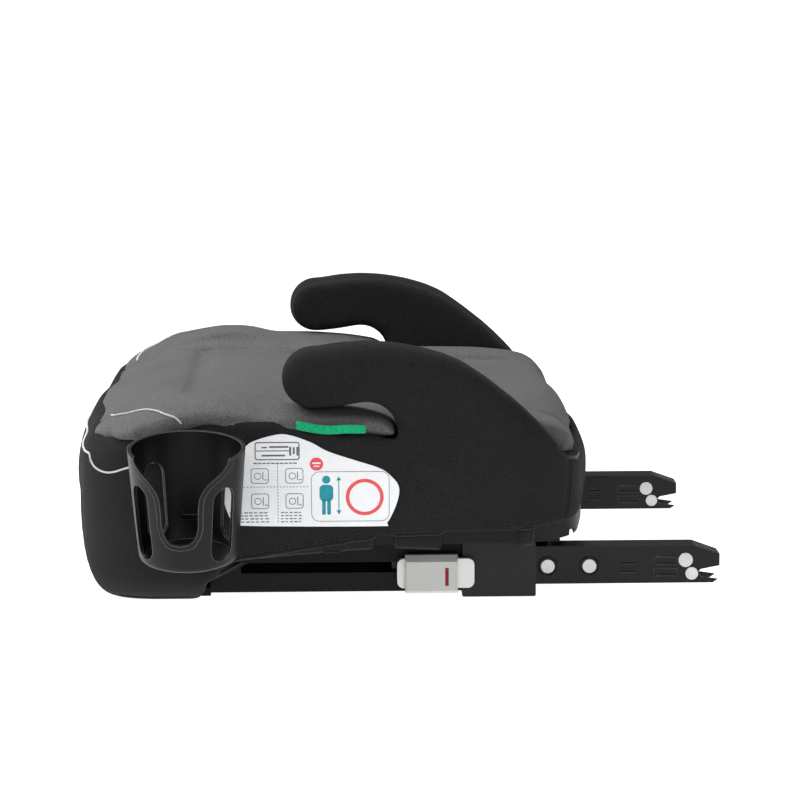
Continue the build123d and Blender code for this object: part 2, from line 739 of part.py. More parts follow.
with BuildPart() as cup_holder:
    add(cup_cone(0, 0, 0))
    span_box((neck_start - tongue_clearance - tongue_head, cup_y - tongue_half_width,
              socket_floor + 0.3),
             (neck_start - tongue_clearance, cup_y + tongue_half_width, socket_high))
    span_box((neck_start - tongue_clearance, cup_y - neck_half_width, socket_floor + 0.3),
             (cup_origin.X, cup_y + neck_half_width, socket_high))
    add(cup_cone(cup_wall, cup_floor, 1), mode=Mode.SUBTRACT)
    # the front cut, flared at the rim
    with BuildSketch(facing_plane(cup_turn)):
        with BuildLine():
            cut_round = front_cut_bottom + front_cut
            low = ThreePointArc((-front_cut, cut_round), (0, front_cut_bottom),
                                (front_cut, cut_round))
            Polyline(low @ 1, (front_cut + 1, cup_length - 18),
                     (front_cut_flare, cup_length + 4), (-front_cut_flare, cup_length + 4),
                     (-front_cut - 1, cup_length - 18), low @ 0)
        make_face()
    extrude(amount=cup_top_radius + 10, mode=Mode.SUBTRACT)
    # four tall windows round the wall
    for angle in window_angles:
        with BuildSketch(facing_plane(cup_turn + angle)):
            with Locations((0, cup_floor + window_sill + window_height / 2)):
                SlotOverall(window_height, window_width, rotation=90)
        extrude(amount=cup_top_radius + 10, mode=Mode.SUBTRACT)
cup_holder.part.label = "cup_holder"
export_step(cup_holder.part, "parts/cup_holder.step")
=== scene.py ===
import math

import bmesh
import bpy
from mathutils import Matrix, Vector, noise
from mathutils.bvhtree import BVHTree
from mathutils.kdtree import KDTree


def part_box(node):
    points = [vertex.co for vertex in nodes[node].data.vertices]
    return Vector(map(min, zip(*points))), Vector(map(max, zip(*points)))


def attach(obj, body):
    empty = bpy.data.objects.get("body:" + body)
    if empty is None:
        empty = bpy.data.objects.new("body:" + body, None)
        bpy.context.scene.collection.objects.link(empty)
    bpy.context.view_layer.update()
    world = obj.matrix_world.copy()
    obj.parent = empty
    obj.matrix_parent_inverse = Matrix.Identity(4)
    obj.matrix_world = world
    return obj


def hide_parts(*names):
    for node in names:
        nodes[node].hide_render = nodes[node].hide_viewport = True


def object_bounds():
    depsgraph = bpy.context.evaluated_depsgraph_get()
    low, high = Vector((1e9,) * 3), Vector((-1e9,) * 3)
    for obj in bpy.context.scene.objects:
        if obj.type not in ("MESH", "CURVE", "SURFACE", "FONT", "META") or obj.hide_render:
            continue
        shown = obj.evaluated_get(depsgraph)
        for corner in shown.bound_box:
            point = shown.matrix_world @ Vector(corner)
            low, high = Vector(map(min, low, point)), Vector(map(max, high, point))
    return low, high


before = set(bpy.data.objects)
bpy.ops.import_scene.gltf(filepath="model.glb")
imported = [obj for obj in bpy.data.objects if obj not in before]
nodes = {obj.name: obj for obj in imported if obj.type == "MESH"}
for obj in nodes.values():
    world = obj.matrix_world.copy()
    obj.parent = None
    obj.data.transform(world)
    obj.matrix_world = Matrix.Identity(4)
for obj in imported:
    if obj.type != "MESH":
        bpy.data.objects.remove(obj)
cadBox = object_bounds()
scene = bpy.context.scene
mm = 0.001


def report(stage):
    print("booster:", stage)


# finishes: shader maths and nodes

class Wire:
    # one output socket of a finish, so that maths on it reads as an expression

    def __init__(self, finish, socket):
        self.finish = finish
        self.socket = socket

    def maths(self, operation, first, second=0.0):
        return self.finish.add("ShaderNodeMath", {"operation": operation}, {0: first, 1: second})

    def __add__(self, other):
        return self.maths("ADD", self, other)

    __radd__ = __add__

    def __sub__(self, other):
        return self.maths("SUBTRACT", self, other)

    def __rsub__(self, other):
        return self.maths("SUBTRACT", other, self)

    def __mul__(self, other):
        return self.maths("MULTIPLY", self, other)

    __rmul__ = __mul__

    def sine(self):
        return self.maths("SINE", self)


class Finish:
    # one material: add() makes any node from its type, its settings and its sockets' values

    def __init__(self, name):
        self.material = bpy.data.materials.new(name)
        self.material.use_nodes = True
        self.tree = self.material.node_tree
        self.shader = self.tree.nodes["Principled BSDF"]

    def add(self, kind, settings=None, values=None, out=0):
        made = self.tree.nodes.new(kind)
        for key, value in (settings or {}).items():
            if key == "stops":
                ramp = made.color_ramp.elements
                while len(ramp) < len(value):
                    ramp.new(0.5)
                for element, (place, colour) in zip(ramp, value):
                    element.position = place
                    element.color = (*colour, 1.0)
            else:
                setattr(made, key, value)
        for key, value in (values or {}).items():
            self.feed(made.inputs[key], value)
        return Wire(self, made.outputs[out])

    def feed(self, socket, value):
        if isinstance(value, Wire):
            self.tree.links.new(value.socket, socket)
        elif isinstance(value, tuple) and len(value) == 3 and socket.type == "RGBA":
            socket.default_value = (*value, 1.0)
        else:
            socket.default_value = value

    def place(self):
        return self.add("ShaderNodeTexCoord", out="Object")

    def noise(self, where, scale, detail=2.0, stretch=(1.0, 1.0, 1.0)):
        spread = self.add("ShaderNodeMapping", {}, {"Vector": where, "Scale": stretch})
        return self.add("ShaderNodeTexNoise", {}, {"Vector": spread, "Scale": scale, "Detail": detail})

    def between(self, factor, low, high):
        return self.add("ShaderNodeMix", {"data_type": "RGBA"}, {0: factor, 6: low, 7: high}, out=2)

    def range(self, value, low, high, newLow=0.0, newHigh=1.0):
        return self.add("ShaderNodeMapRange", {"clamp": True},
                        {0: value, 1: low, 2: high, 3: newLow, 4: newHigh})

    def split(self, where):
        parts = self.add("ShaderNodeSeparateXYZ", {}, {0: where}).socket.node
        return [Wire(self, each) for each in parts.outputs]

    def bump(self, height, distance, strength=1.0, normal=None):
        values = {"Height": height, "Distance": distance, "Strength": strength}
        if normal:
            values["Normal"] = normal
        return self.add("ShaderNodeBump", {}, values)

    def finish(self, **sockets):
        for key, value in sockets.items():
            self.feed(self.shader.inputs[key.replace("_", " ")], value)
        return self.material


def clothFinish(name, look):
    # knitted or woven cloth: a lattice of threads, speckled yarn and slow unevenness
    cloth = Finish(name)
    where = cloth.place()
    x, y, z = cloth.split(where)
    turns = 2 * math.pi / look["thread"]
    lattice = ((x + z) * turns).sine() * ((y + x * 0.31) * turns).sine()
    speckle = cloth.noise(where, look["speckle"], 3.0, look.get("streak", (1.0, 1.0, 1.0)))
    cloudy = cloth.noise(where, 14.0)
    yarn = cloth.range(speckle + lattice * 0.05 + (cloudy - 0.5) * 0.12, 0.22, 0.78)
    colour = cloth.between(yarn, look["dark"], look["light"])
    height = lattice * 0.5 + speckle * 1.2
    return cloth.finish(
        Base_Color=colour,
        Roughness=cloth.range(speckle, 0.3, 0.7, look["rough"] - 0.06, look["rough"] + 0.04),
        Normal=cloth.bump(height, look["relief"]),
        Sheen_Weight=look["sheen"],
        Sheen_Roughness=0.5,
        Specular_IOR_Level=look.get("shine", 0.1),
    )


def mouldedFinish(name, look):
    # moulded plastic or painted metal: fine grain, and softened edges lightened towards an edge colour that
    # is partly wear and partly painted highlight
    hard = Finish(name)
    where = hard.place()
    grain = hard.noise(where, look["grain"], 3.0)
    cloudy = hard.noise(where, 30.0)
    soft = hard.add("ShaderNodeBevel", {"samples": 6}, {"Radius": look["edge"]})
    true = hard.add("ShaderNodeNewGeometry", out="Normal")
    along = hard.add("ShaderNodeVectorMath", {"operation": "DOT_PRODUCT"}, {0: soft, 1: true}, out=1)
    # edge mask: the edges take a lighter colour, partly wear and partly a painted highlight
    edgeWearAndHighlight = hard.range(1.0 - along + (cloudy - 0.5) * 0.03, 0.02, 0.16)
    base = hard.between(cloudy, look["dark"], look["light"])
    return hard.finish(
        Base_Color=hard.between(edgeWearAndHighlight * 0.5, base, look["edgeWearAndHighlight"]),
        Roughness=hard.range(grain + cloudy * 0.5, 0.5, 1.0, look["rough"] - 0.05, look["rough"] + 0.07),
        Normal=hard.bump(grain, look["relief"], 1.0, soft),
        Specular_IOR_Level=look.get("shine", 0.25),
    )


def zincFinish(name, look):
    # plated steel: brushed streaks and cloudy plating
    zinc = Finish(name)
    where = zinc.place()
    streak = zinc.noise(where, 260.0, 4.0, (0.2, 1.0, 6.0))
    cloudy = zinc.noise(where, 60.0)
    soft = zinc.add("ShaderNodeBevel", {"samples": 6}, {"Radius": look["edge"]})
    return zinc.finish(
        Base_Color=zinc.between(cloudy, look["dark"], look["light"]),
        Roughness=zinc.range(streak, 0.3, 0.7, look["rough"] - 0.08, look["rough"] + 0.1),
        Metallic=look.get("metal", 0.85),
        Normal=zinc.bump(streak, 0.00006, 1.0, soft),
    )


def even(level):
    return (level, level, level)


sewn = {"thread": 0.0006, "speckle": 2200.0, "relief": 0.0001}
printed = {"thread": 0.0005, "speckle": 500.0, "relief": 0.00005, "rough": 0.5, "sheen": 0.0}
looks = {
    "stretchCloth": {"dark": (0.003, 0.003, 0.0031), "light": (0.029, 0.029, 0.0295), "thread": 0.0012,
                     "speckle": 1500.0, "relief": 0.00013, "rough": 0.9, "sheen": 0.02, "shine": 0.1},
    "melangeCloth": {"dark": (0.03, 0.03, 0.031), "light": (0.19, 0.19, 0.192), "thread": 0.0013,
                     "speckle": 1900.0, "streak": (1.0, 0.5, 1.0), "relief": 0.00014, "rough": 0.92,
                     "sheen": 0.05},
    "hemTape": {"dark": even(0.006), "light": even(0.02), "thread": 0.0008,
                "speckle": 700.0, "relief": 0.0002, "rough": 0.8, "sheen": 0.1},
    "whiteThread": {**sewn, "dark": (0.5, 0.5, 0.49), "light": (0.86, 0.86, 0.84), "rough": 0.7,
                    "sheen": 0.1},
    "seamShade": {**sewn, "dark": even(0.02), "light": even(0.035), "rough": 0.9, "sheen": 0.0},
    "greyThread": {**sewn, "dark": even(0.05), "light": even(0.11), "rough": 0.8, "sheen": 0.1},
    "darkThread": {**sewn, "dark": even(0.012), "light": even(0.04), "rough": 0.7, "sheen": 0.1},
    "greenRibbon": {"dark": (0.0, 0.30, 0.115), "light": (0.012, 0.56, 0.24), "thread": 0.0009,
                    "speckle": 700.0, "relief": 0.00025, "rough": 0.6, "sheen": 0.1},
    "labelCloth": {**printed, "dark": (0.84, 0.86, 0.88), "light": (0.93, 0.94, 0.96)},
    "labelGrey": {**printed, "dark": (0.10, 0.10, 0.11), "light": (0.2, 0.2, 0.21)},
    "labelTeal": {**printed, "dark": (0.02, 0.25, 0.31), "light": (0.045, 0.36, 0.44)},
    "labelCoral": {**printed, "dark": (0.72, 0.08, 0.09), "light": (0.88, 0.14, 0.15)},
}
# each finish's edge colour is partly wear and partly painted highlight; on the cup it is a painted rim
# highlight
hardLooks = {
    "shellPlastic": {"dark": even(0.008), "light": even(0.012), "edgeWearAndHighlight": even(0.04),
                     "grain": 1400.0, "relief": 0.00008, "rough": 0.5, "edge": 0.0007, "shine": 0.12},
    "bracketPlastic": {"dark": (0.018, 0.018, 0.0185), "light": (0.028, 0.028, 0.0285),
                       "edgeWearAndHighlight": even(0.12), "grain": 1400.0, "relief": 0.00008, "rough": 0.55,
                       "edge": 0.0008, "shine": 0.2},
    "cupPlastic": {"dark": (0.003, 0.003, 0.0031), "light": (0.005, 0.005, 0.0051), "edgeWearAndHighlight": even(0.4),
                   "grain": 1700.0, "relief": 0.00004, "rough": 0.38, "edge": 0.0009, "shine": 0.2},
    "gripPlastic": {"dark": (0.56, 0.56, 0.55), "light": (0.64, 0.64, 0.63), "edgeWearAndHighlight": even(0.7),
                    "grain": 1500.0, "relief": 0.00004, "rough": 0.42, "edge": 0.0009},
    "sliderPlastic": {"dark": (0.84, 0.84, 0.82), "light": (0.92, 0.92, 0.9), "edgeWearAndHighlight": (0.85, 0.85, 0.83),
                      "grain": 1500.0, "relief": 0.00004, "rough": 0.42, "edge": 0.0009},
    "redPlastic": {"dark": (0.24, 0.004, 0.014), "light": (0.33, 0.008, 0.02), "edgeWearAndHighlight": (0.5, 0.05, 0.06),
                   "grain": 1200.0, "relief": 0.00003, "rough": 0.4, "edge": 0.0003},
    "rodNylon": {"dark": even(0.05), "light": even(0.07), "edgeWearAndHighlight": even(0.12),
                 "grain": 1200.0, "relief": 0.00003, "rough": 0.5, "edge": 0.0004},
    "armPaint": {"dark": (0.0015, 0.0015, 0.0016), "light": (0.003, 0.003, 0.0031), "edgeWearAndHighlight": even(0.16),
                 "grain": 500.0, "relief": 0.00004, "rough": 0.2, "edge": 0.0009, "shine": 0.22},
    "foamSkin": {"dark": even(0.02), "light": even(0.04), "edgeWearAndHighlight": even(0.06),
                 "grain": 300.0, "relief": 0.0004, "rough": 0.9, "edge": 0.002},
}
zincLooks = {
    "zincRivet": {"dark": (0.42, 0.42, 0.41), "light": (0.66, 0.66, 0.64), "rough": 0.34, "edge": 0.0005,
                  "metal": 0.7},
    "hookSteel": {"dark": (0.24, 0.24, 0.25), "light": (0.4, 0.4, 0.41), "rough": 0.38, "edge": 0.0004},
}

finishes = {name: clothFinish(name, look) for name, look in looks.items()}
finishes.update({name: mouldedFinish(name, look) for name, look in hardLooks.items()})
finishes.update({name: zincFinish(name, look) for name, look in zincLooks.items()})
report("finishes ready")


# mesh helpers

def placed(name, data):
    made = bpy.data.objects.new(name, data)
    scene.collection.objects.link(made)
    return made


def dressed(piece, finish):
    piece.data.materials.clear()
    piece.data.materials.append(finishes[finish])


def pieceFrom(name, mesh, finish, body):
    piece = placed(name, mesh)
    dressed(piece, finish)
    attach(piece, body)
    return piece


def meshOf(name, built):
    # turns a finished bmesh into a mesh
    mesh = bpy.data.meshes.new(name)
    built.to_mesh(mesh)
    built.free()
    return mesh


def meshFrom(name, points, faces):
    mesh = bpy.data.meshes.new(name)
    mesh.from_pydata([tuple(point) for point in points], [], faces)
    mesh.update()
    return mesh


def smoothShaded(mesh):
    mesh.polygons.foreach_set("use_smooth", [True] * len(mesh.polygons))


def sharpened(mesh, angle):
    # smooth shading, with the edges steeper than an angle kept crisp
    built = bmesh.new()
    built.from_mesh(mesh)
    bmesh.ops.triangulate(built, faces=[face for face in built.faces if len(face.verts) > 4])
    for edge in built.edges:
        edge.smooth = len(edge.link_faces) == 2 and edge.calc_face_angle() < math.radians(angle)
    built.to_mesh(mesh)
    built.free()
    smoothShaded(mesh)


def joinedCopy(name, parts):
    # the meshes of several CAD nodes as one new mesh
    built = bmesh.new()
    for part in parts:
        built.from_mesh(nodes[part].data)
    return meshOf(name, built)


def settled(piece):
    # bakes the modifiers into the mesh
    graph = bpy.context.evaluated_depsgraph_get()
    mesh = bpy.data.meshes.new_from_object(piece.evaluated_get(graph))
    piece.modifiers.clear()
    piece.data = mesh


def softened(piece, rounds):
    soften = piece.modifiers.new("soften", "SMOOTH")
    soften.factor = 0.5
    soften.iterations = rounds
    settled(piece)


def remeshed(piece, voxel, rounds):
    remesh = piece.modifiers.new("remesh", "REMESH")
    remesh.mode = "VOXEL"
    remesh.voxel_size = voxel
    softened(piece, rounds)
    smoothShaded(piece.data)


def thickened(piece, thickness, offset=0.0):
    thick = piece.modifiers.new("thick", "SOLIDIFY")
    thick.thickness = thickness
    thick.offset = offset
    settled(piece)


def puffed(piece, care, pinned):
    # cloth under pressure, with its seams held, and no point moved further than the cap
    before = [vertex.co.copy() for vertex in piece.data.vertices]
    held = piece.vertex_groups.new(name="held")
    for vertex in piece.data.vertices:
        grip = pinned(vertex)
        if grip > 0:
            held.add([vertex.index], grip, "REPLACE")
    cloth = piece.modifiers.new("cloth", "CLOTH")
    cloth.settings.quality = 4
    cloth.settings.use_pressure = True
    cloth.settings.uniform_pressure_force = care["pressure"]
    cloth.settings.effector_weights.gravity = 0.0
    cloth.settings.vertex_group_mass = "held"
    for step in range(1, care["steps"] + 1):
        scene.frame_set(step)
    settled(piece)
    scene.frame_set(1)
    for vertex, start in zip(piece.data.vertices, before):
        travel = vertex.co - start
        if travel.length > care["cap"]:
            vertex.co = start + travel * (care["cap"] / travel.length)


def subdivided(piece):
    finer = piece.modifiers.new("finer", "SUBSURF")
    finer.levels = 1
    finer.render_levels = 1
    settled(piece)
    smoothShaded(piece.data)


def shifted(piece, move):
    # moves every point by what move(position, normal) says
    mesh = piece.data
    normals = [vertex.normal.copy() for vertex in mesh.vertices]
    for vertex, normal in zip(mesh.vertices, normals):
        vertex.co += move(vertex.co, normal)
    mesh.update()


def smoothPath(points, step, closed=False):
    # a Catmull-Rom path through a few points, then even steps along it
    count = len(points)
    spans = count if closed else count - 1
    dense = []
    for span in range(spans):
        near = [points[(span + k) % count] if closed else points[min(max(span + k, 0), count - 1)]
                for k in (-1, 0, 1, 2)]
        for part in range(12):
            t = part / 12
            dense.append(0.5 * ((2 * near[1]) + (near[2] - near[0]) * t
                                + (2 * near[0] - 5 * near[1] + 4 * near[2] - near[3]) * t * t
                                + (3 * near[1] - near[0] - 3 * near[2] + near[3]) * t * t * t))
    dense.append(points[0] if closed else points[-1])
    even, left = [dense[0].copy()], step
    for a, b in zip(dense, dense[1:]):
        length = (b - a).length
        while length >= left and length > 0:
            a = a + (b - a) * (left / length)
            even.append(a)
            length = (b - a).length
            left = step
        left -= length
    return even


def surfaceOf(piece):
    return BVHTree.FromObject(piece, bpy.context.evaluated_depsgraph_get())


def laidOn(surface, path, start, direction, lift):
    # drops a path on a surface along a direction, and lifts it off by a hair
    laid = []
    for point in path:
        hit, normal, _, _ = surface.ray_cast(start(point), direction)
        if hit is not None:
            laid.append((hit + normal * lift, normal))
    return laid


def tube(points, radius, sides=8, flat=1.0, normals=None, closed=False):
    # rings round a path, as points and faces; flat squeezes them towards the surface
    rings, faces = [], []
    count = len(points)
    for index, point in enumerate(points):
        ahead = points[(index + 1) % count] if closed or index + 1 < count else point
        behind = points[index - 1] if closed or index else point
        along = (ahead - behind).normalized()
        up = normals[index] if normals else Vector((0.0, 0.0, 1.0))
        side = along.cross(up)
        side = side.normalized() if side.length > 1e-6 else along.orthogonal().normalized()
        up = side.cross(along).normalized()
        end = 0.35 if not closed and index in (0, count - 1) else 1.0
        for k in range(sides):
            turn = 2 * math.pi * k / sides
            rings.append(point + (side * math.cos(turn) + up * math.sin(turn) * flat) * radius * end)
    spans = count if closed else count - 1
    for ring in range(spans):
        for k in range(sides):
            a, b = ring * sides + k, ring * sides + (k + 1) % sides
            c = ((ring + 1) % count) * sides
            faces.append((a, b, c + (k + 1) % sides, c + k))
    if not closed:
        faces.append(tuple(range(sides))[::-1])
        faces.append(tuple(range((count - 1) * sides, count * sides)))
    return rings, faces


def tubePiece(name, runs, radius, finish, sides=8, flat=1.0):
    # runs is a list of (points, normals); all of them become one piece
    points, faces = [], []
    for run, normals in runs:
        rings, skin = tube(run, radius, sides, flat, normals)
        faces += [tuple(index + len(points) for index in face) for face in skin]
        points += rings
    mesh = meshFrom(name, points, faces)
    smoothShaded(mesh)
    pieceFrom(name, mesh, finish, "seat")


def stitchRuns(laid, stitch, gap, spacing):
    # cuts a laid path into single stitches that dip at their ends
    runs, size, pause = [], max(2, round(stitch / spacing)), max(1, round(gap / spacing))
    index = 0
    while index + size < len(laid):
        part = laid[index:index + size + 1]
        points = []
        for k, (point, normal) in enumerate(part):
            arch = math.sin(math.pi * k / size)
            points.append(point + normal * (arch - 0.6) * 0.35 * mm)
        runs.append((points, [normal for _, normal in part]))
        index += size + pause
    return runs


def roundedBox(low, high, radius):
    # a box between two corners with rounded edges, as a mesh
    built = bmesh.new()
    bmesh.ops.create_cube(built, size=1.0)
    for vertex in built.verts:
        vertex.co = Vector([a if part < 0 else b for part, a, b in zip(vertex.co, low, high)])
    bmesh.ops.bevel(built, geom=built.edges[:], offset=radius, segments=3, affect="EDGES")
    return meshOf("block", built)


def prism(name, ends, turn=0.0):
    # a solid between two outlines with the same number of points
    built = bmesh.new()
    near, far = [[built.verts.new(point) for point in end] for end in ends]
    count = len(near)
    built.faces.new(near[::-1])
    built.faces.new(far)
    for k in range(count):
        built.faces.new((near[k], near[(k + 1) % count], far[(k + 1) % count], far[k]))
    bmesh.ops.recalc_face_normals(built, faces=built.faces)
    bmesh.ops.rotate(built, verts=built.verts, matrix=Matrix.Rotation(math.radians(turn), 3, "Z"))
    return placed(name, meshOf(name, built))


def combined(target, other, operation):
    # one boolean, baked, with the other object taken away
    joint = target.modifiers.new("joint", "BOOLEAN")
    joint.operation = operation
    joint.solver = "EXACT"
    joint.object = other
    settled(target)
    bpy.data.objects.remove(other)


# where the seat is, from the frame
labelLow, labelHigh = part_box("side_label")
labelSheet = 0.5 * mm
cupLow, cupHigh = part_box("cup_holder")
hookLow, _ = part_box("armrest_core_left")
sideLean = (labelHigh.x - labelLow.x - labelSheet) / (labelHigh.z - labelLow.z)


def sideX(z):
    # the left side's plane, at a height
    return labelLow.x - 0.1 * mm + (z - labelLow.z) * sideLean


# black stretch cover
cover = {
    "voxel": 3.0 * mm,
    "smoothing": 12,
    "swell": 1.0 * mm,
    "waves": 19.0,
    "waveHeight": 0.6 * mm,
    "armRound": 13 * mm,
    "hookStart": 22 * mm,  # the hooks are rounded from this far over their cores' lowest point
    "seamDepth": 1.0 * mm,
    "seamWidth": 1.5 * mm,
    "hookArcs": [((49, 140), (41, 152), (17.7, 156)), ((17.7, 156), (3, 153.8), (-13, 152.4)),
                 ((-13, 152.4), (-34.5, 174.7), (-8.5, 195.8)), ((-8.5, 195.8), (38, 199), (94.6, 184.4)),
                 ((94.6, 184.4), (140.7, 149.5), (178, 112))],
    "rearSeam": [(176.5, 131), (178, 107), (176.5, 80), (174.3, 64)],
    "edgeLine": [(-230, 124), (-184, 128), (-164, 129), (-146, 131), (-120, 140), (-92, 147.5), (-60, 146),
                 (-22, 143.5), (0, 139), (25, 134), (49, 128), (70, 121), (70, 60), (-230, 60)],
    "edgeDrop": 3.0,  # the pad starts this much under the line, so that the two overlap
    "reach": 0.3,
    "middleX": 190 * mm,
    "middleFront": -125 * mm,
}
endShape = {"pull": 4.5 * mm, "straight": 20 * mm, "full": 80 * mm}


def sidePoints(pairs):
    return [Vector((0.0, y * mm, z * mm)) for y, z in pairs]


def smoothStep(value, low, high):
    part = min(1.0, max(0.0, (value - low) / (high - low)))
    return part * part * (3 - 2 * part)


def belowEdge(name, drop):
    # everything under the line where the grey pad meets the black cover, but for the seat's middle
    reach, middleX, middleFront = cover["reach"], cover["middleX"], cover["middleFront"]
    line = [(y * mm, (z - drop) * mm) for y, z in cover["edgeLine"]]
    block = prism(name, [[(x, y, z) for y, z in line] for x in (-reach, reach)])
    inside = roundedBox((-middleX, middleFront, 0.0), (middleX, 0.4, 0.4), 1 * mm)
    combined(block, placed("middleBlock", inside), "DIFFERENCE")
    return block


def padPart(name, drop, operation):
    # the grey cover's solid, above or below that line
    piece = placed(name, joinedCopy(name, ["pad_cover"]))
    combined(piece, belowEdge("edgeBlock", drop), operation)
    mesh = piece.data
    bpy.data.objects.remove(piece)
    return mesh


def arcPoints(start, middle, end, count=120):
    # points along the circle through three
    (ax, ay), (bx, by), (cx, cy) = start, middle, end
    d = 2 * (ax * (by - cy) + bx * (cy - ay) + cx * (ay - by))
    a2, b2, c2 = ax * ax + ay * ay, bx * bx + by * by, cx * cx + cy * cy
    x = (a2 * (by - cy) + b2 * (cy - ay) + c2 * (ay - by)) / d
    y = (a2 * (cx - bx) + b2 * (ax - cx) + c2 * (bx - ax)) / d
    first, last = math.atan2(ay - y, ax - x), math.atan2(cy - y, cx - x)
    if d > 0 and last < first:
        last += 2 * math.pi
    if d < 0 and last > first:
        last -= 2 * math.pi
    radius = math.hypot(ax - x, ay - y)
    return [(x + radius * math.cos(first + (last - first) * k / count),
             y + radius * math.sin(first + (last - first) * k / count)) for k in range(count + 1)]


def endPull(place):
    # the seat's front and back are a little rounder than the moulded shell
    ends = smoothStep(place.y, 130 * mm, 190 * mm) - smoothStep(-place.y, 130 * mm, 185 * mm)
    sides = smoothStep(abs(place.x), endShape["straight"], endShape["full"])
    return Vector((0.0, -endShape["pull"] * ends * sides, 0.0))


def pathFinder(path):
    # from a point to the nearest point of a side-view path, through a search tree
    tree = KDTree(len(path))
    for index, point in enumerate(path):
        tree.insert(point, index)
    tree.balance()
    return lambda place: tree.find(Vector((0.0, place.y, place.z)))


def makeCover():
    built = bmesh.new()
    built.from_mesh(joinedCopy("blackCover", ["side_cover", "armrest_core_left", "armrest_core_right"]))
    built.from_mesh(padPart("coverEdge", 0.0, "INTERSECT"))
    piece = pieceFrom("blackCover", meshOf("blackCover", built), "stretchCloth", "seat")
    remeshed(piece, cover["voxel"], 3)
    hookPath = [Vector((0.0, y * mm, z * mm)) for arc in cover["hookArcs"] for y, z in arcPoints(*arc)]
    nearHook = pathFinder(hookPath)
    nearSeam = pathFinder(smoothPath(sidePoints(cover["rearSeam"]), 1 * mm))
    inner = hookLow.x

    def roundOff(place, normal):
        # turns the square corners round the hooks into quarter circles
        edge, _, distance = nearHook(place)
        outer = sideX(place.z)
        middle, half = (inner + outer) / 2, (outer - inner) / 2
        radius = cover["armRound"]
        across = abs(place.x) - middle
        deep, wide = radius - distance, abs(across) - (half - radius)
        if place.z < hookLow.z + cover["hookStart"] or deep <= 0 or wide <= 0 or abs(across) > half + 3 * mm:
            return Vector()
        wide = min(wide, radius)
        keep = max(deep, wide) / math.hypot(deep, wide)
        inward = Vector((0.0, place.y - edge.y, place.z - edge.z))
        if inward.length <= 0.3 * mm:
            inward = Vector((0.0, -normal.y, -normal.z))
        narrower = -math.copysign(1.0, across) * math.copysign(1.0, place.x) * wide * (1 - keep)
        return inward.normalized() * deep * (1 - keep) + Vector((narrower, 0.0, 0.0))

    shifted(piece, roundOff)
    softened(piece, cover["smoothing"])

    def move(place, normal):
        # swells the cloth a little, lays it flat behind the label and sinks the rear seam
        out = cover["swell"] + noise.noise(place * cover["waves"]) * cover["waveHeight"]
        if place.x > 190 * mm and normal.x > 0.6:
            flat = (smoothStep(place.y, labelLow.y - 16 * mm, labelLow.y - 2 * mm)
                    * (1 - smoothStep(place.y, labelHigh.y + 2 * mm, labelHigh.y + 16 * mm))
                    * (1 - smoothStep(place.z, labelHigh.z - 1 * mm, labelHigh.z + 6 * mm)))
            out = out * (1 - flat) + (sideX(place.z) - 0.25 * mm - place.x) * flat
        if place.y > 120 * mm:
            out -= cover["seamDepth"] * math.exp(-(nearSeam(place)[2] / cover["seamWidth"]) ** 2)
        return normal * out + endPull(place)

    shifted(piece, move)
    subdivided(piece)
    dressed(piece, "stretchCloth")
    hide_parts("side_cover", "armrest_core_left", "armrest_core_right")
    return piece


blackCover = makeCover()
coverSurface = surfaceOf(blackCover)
report("black cover")


# hem round the black cover
hem = {
    "line": [(-92, 20), (-73, 38), (37, 55), (150, 60), (220, 62)],
    "roll": 1.5 * mm,
    "topstitches": (4.5 * mm, 7.0 * mm),
    "bandDrop": 12 * mm,
    "bandInset": 2.0 * mm,
    "bandThickness": 1.2 * mm,
    "stitch": 2.6 * mm,
    "gap": 1.0 * mm,
    "from": -28.0,  # degrees about the seat's middle, from its left side by its back to its right side
    "through": 236.0,
    "steps": 560,
    "middle": 20 * mm,
}


def hemHeight(y):
    line = hem["line"]
    for (y0, z0), (y1, z1) in zip(line, line[1:]):
        if y <= y1 * mm:
            return (z0 + (z1 - z0) * max(0.0, (y / mm - y0) / (y1 - y0))) * mm
    return line[-1][1] * mm


def aroundCover(rise, turns, lift):
    # points on the cover at a height over the hem, going round its back
    laid = []
    for turn in turns:
        out = Vector((math.cos(turn), math.sin(turn), 0.0))
        y = hem["middle"] + out.y * 200 * mm
        for _ in range(3):
            start = Vector((out.x * 0.5, hem["middle"] + out.y * 0.5, hemHeight(y) + rise))
            hit, normal, _, _ = coverSurface.ray_cast(start, -out)
            if hit is not None:
                y = hit.y
        if hit is not None:
            laid.append((hit + normal * lift, normal))
    return laid


def makeHem():
    turns = [math.radians(hem["from"] + hem["through"] * k / hem["steps"]) for k in range(hem["steps"] + 1)]
    edge = aroundCover(1.6 * mm, turns, -0.3 * mm)
    points, normals = [p for p, _ in edge], [n for _, n in edge]
    tubePiece("hemRoll", [(points, normals)], hem["roll"], "hemTape", flat=0.7)
    runs = []
    for rise in hem["topstitches"]:
        line = aroundCover(rise, turns, 0.25 * mm)
        runs += stitchRuns(line, hem["stitch"], hem["gap"], 1.5 * mm)
    tubePiece("hemStitches", runs, 0.3 * mm, "darkThread", sides=6)
    # a band that hangs under the roll and turns inwards, deeper towards the rear
    rows = []
    for point, normal in edge:
        flat = Vector((normal.x, normal.y, 0.0)).normalized()
        grow = min(1.0, max(0.0, (point.y + 60 * mm) / (150 * mm)))
        drop = hem["bandDrop"] * grow + 1.5 * mm
        row = [point - flat * (0.4 * mm + hem["bandInset"] * (k / 4) ** 1.5)
               - Vector((0.0, 0.0, drop * k / 4)) for k in range(5)]
        rows.append(row)
    flatPoints = [point for row in rows for point in row]
    faces = [(5 * r + k, 5 * r + k + 1, 5 * r + k + 6, 5 * r + k + 5)
             for r in range(len(rows) - 1) for k in range(4)]
    mesh = meshFrom("hemBand", flatPoints, faces)
    smoothShaded(mesh)
    thickened(pieceFrom("hemBand", mesh, "hemTape", "seat"), hem["bandThickness"], -1.0)


makeHem()
report("hem")


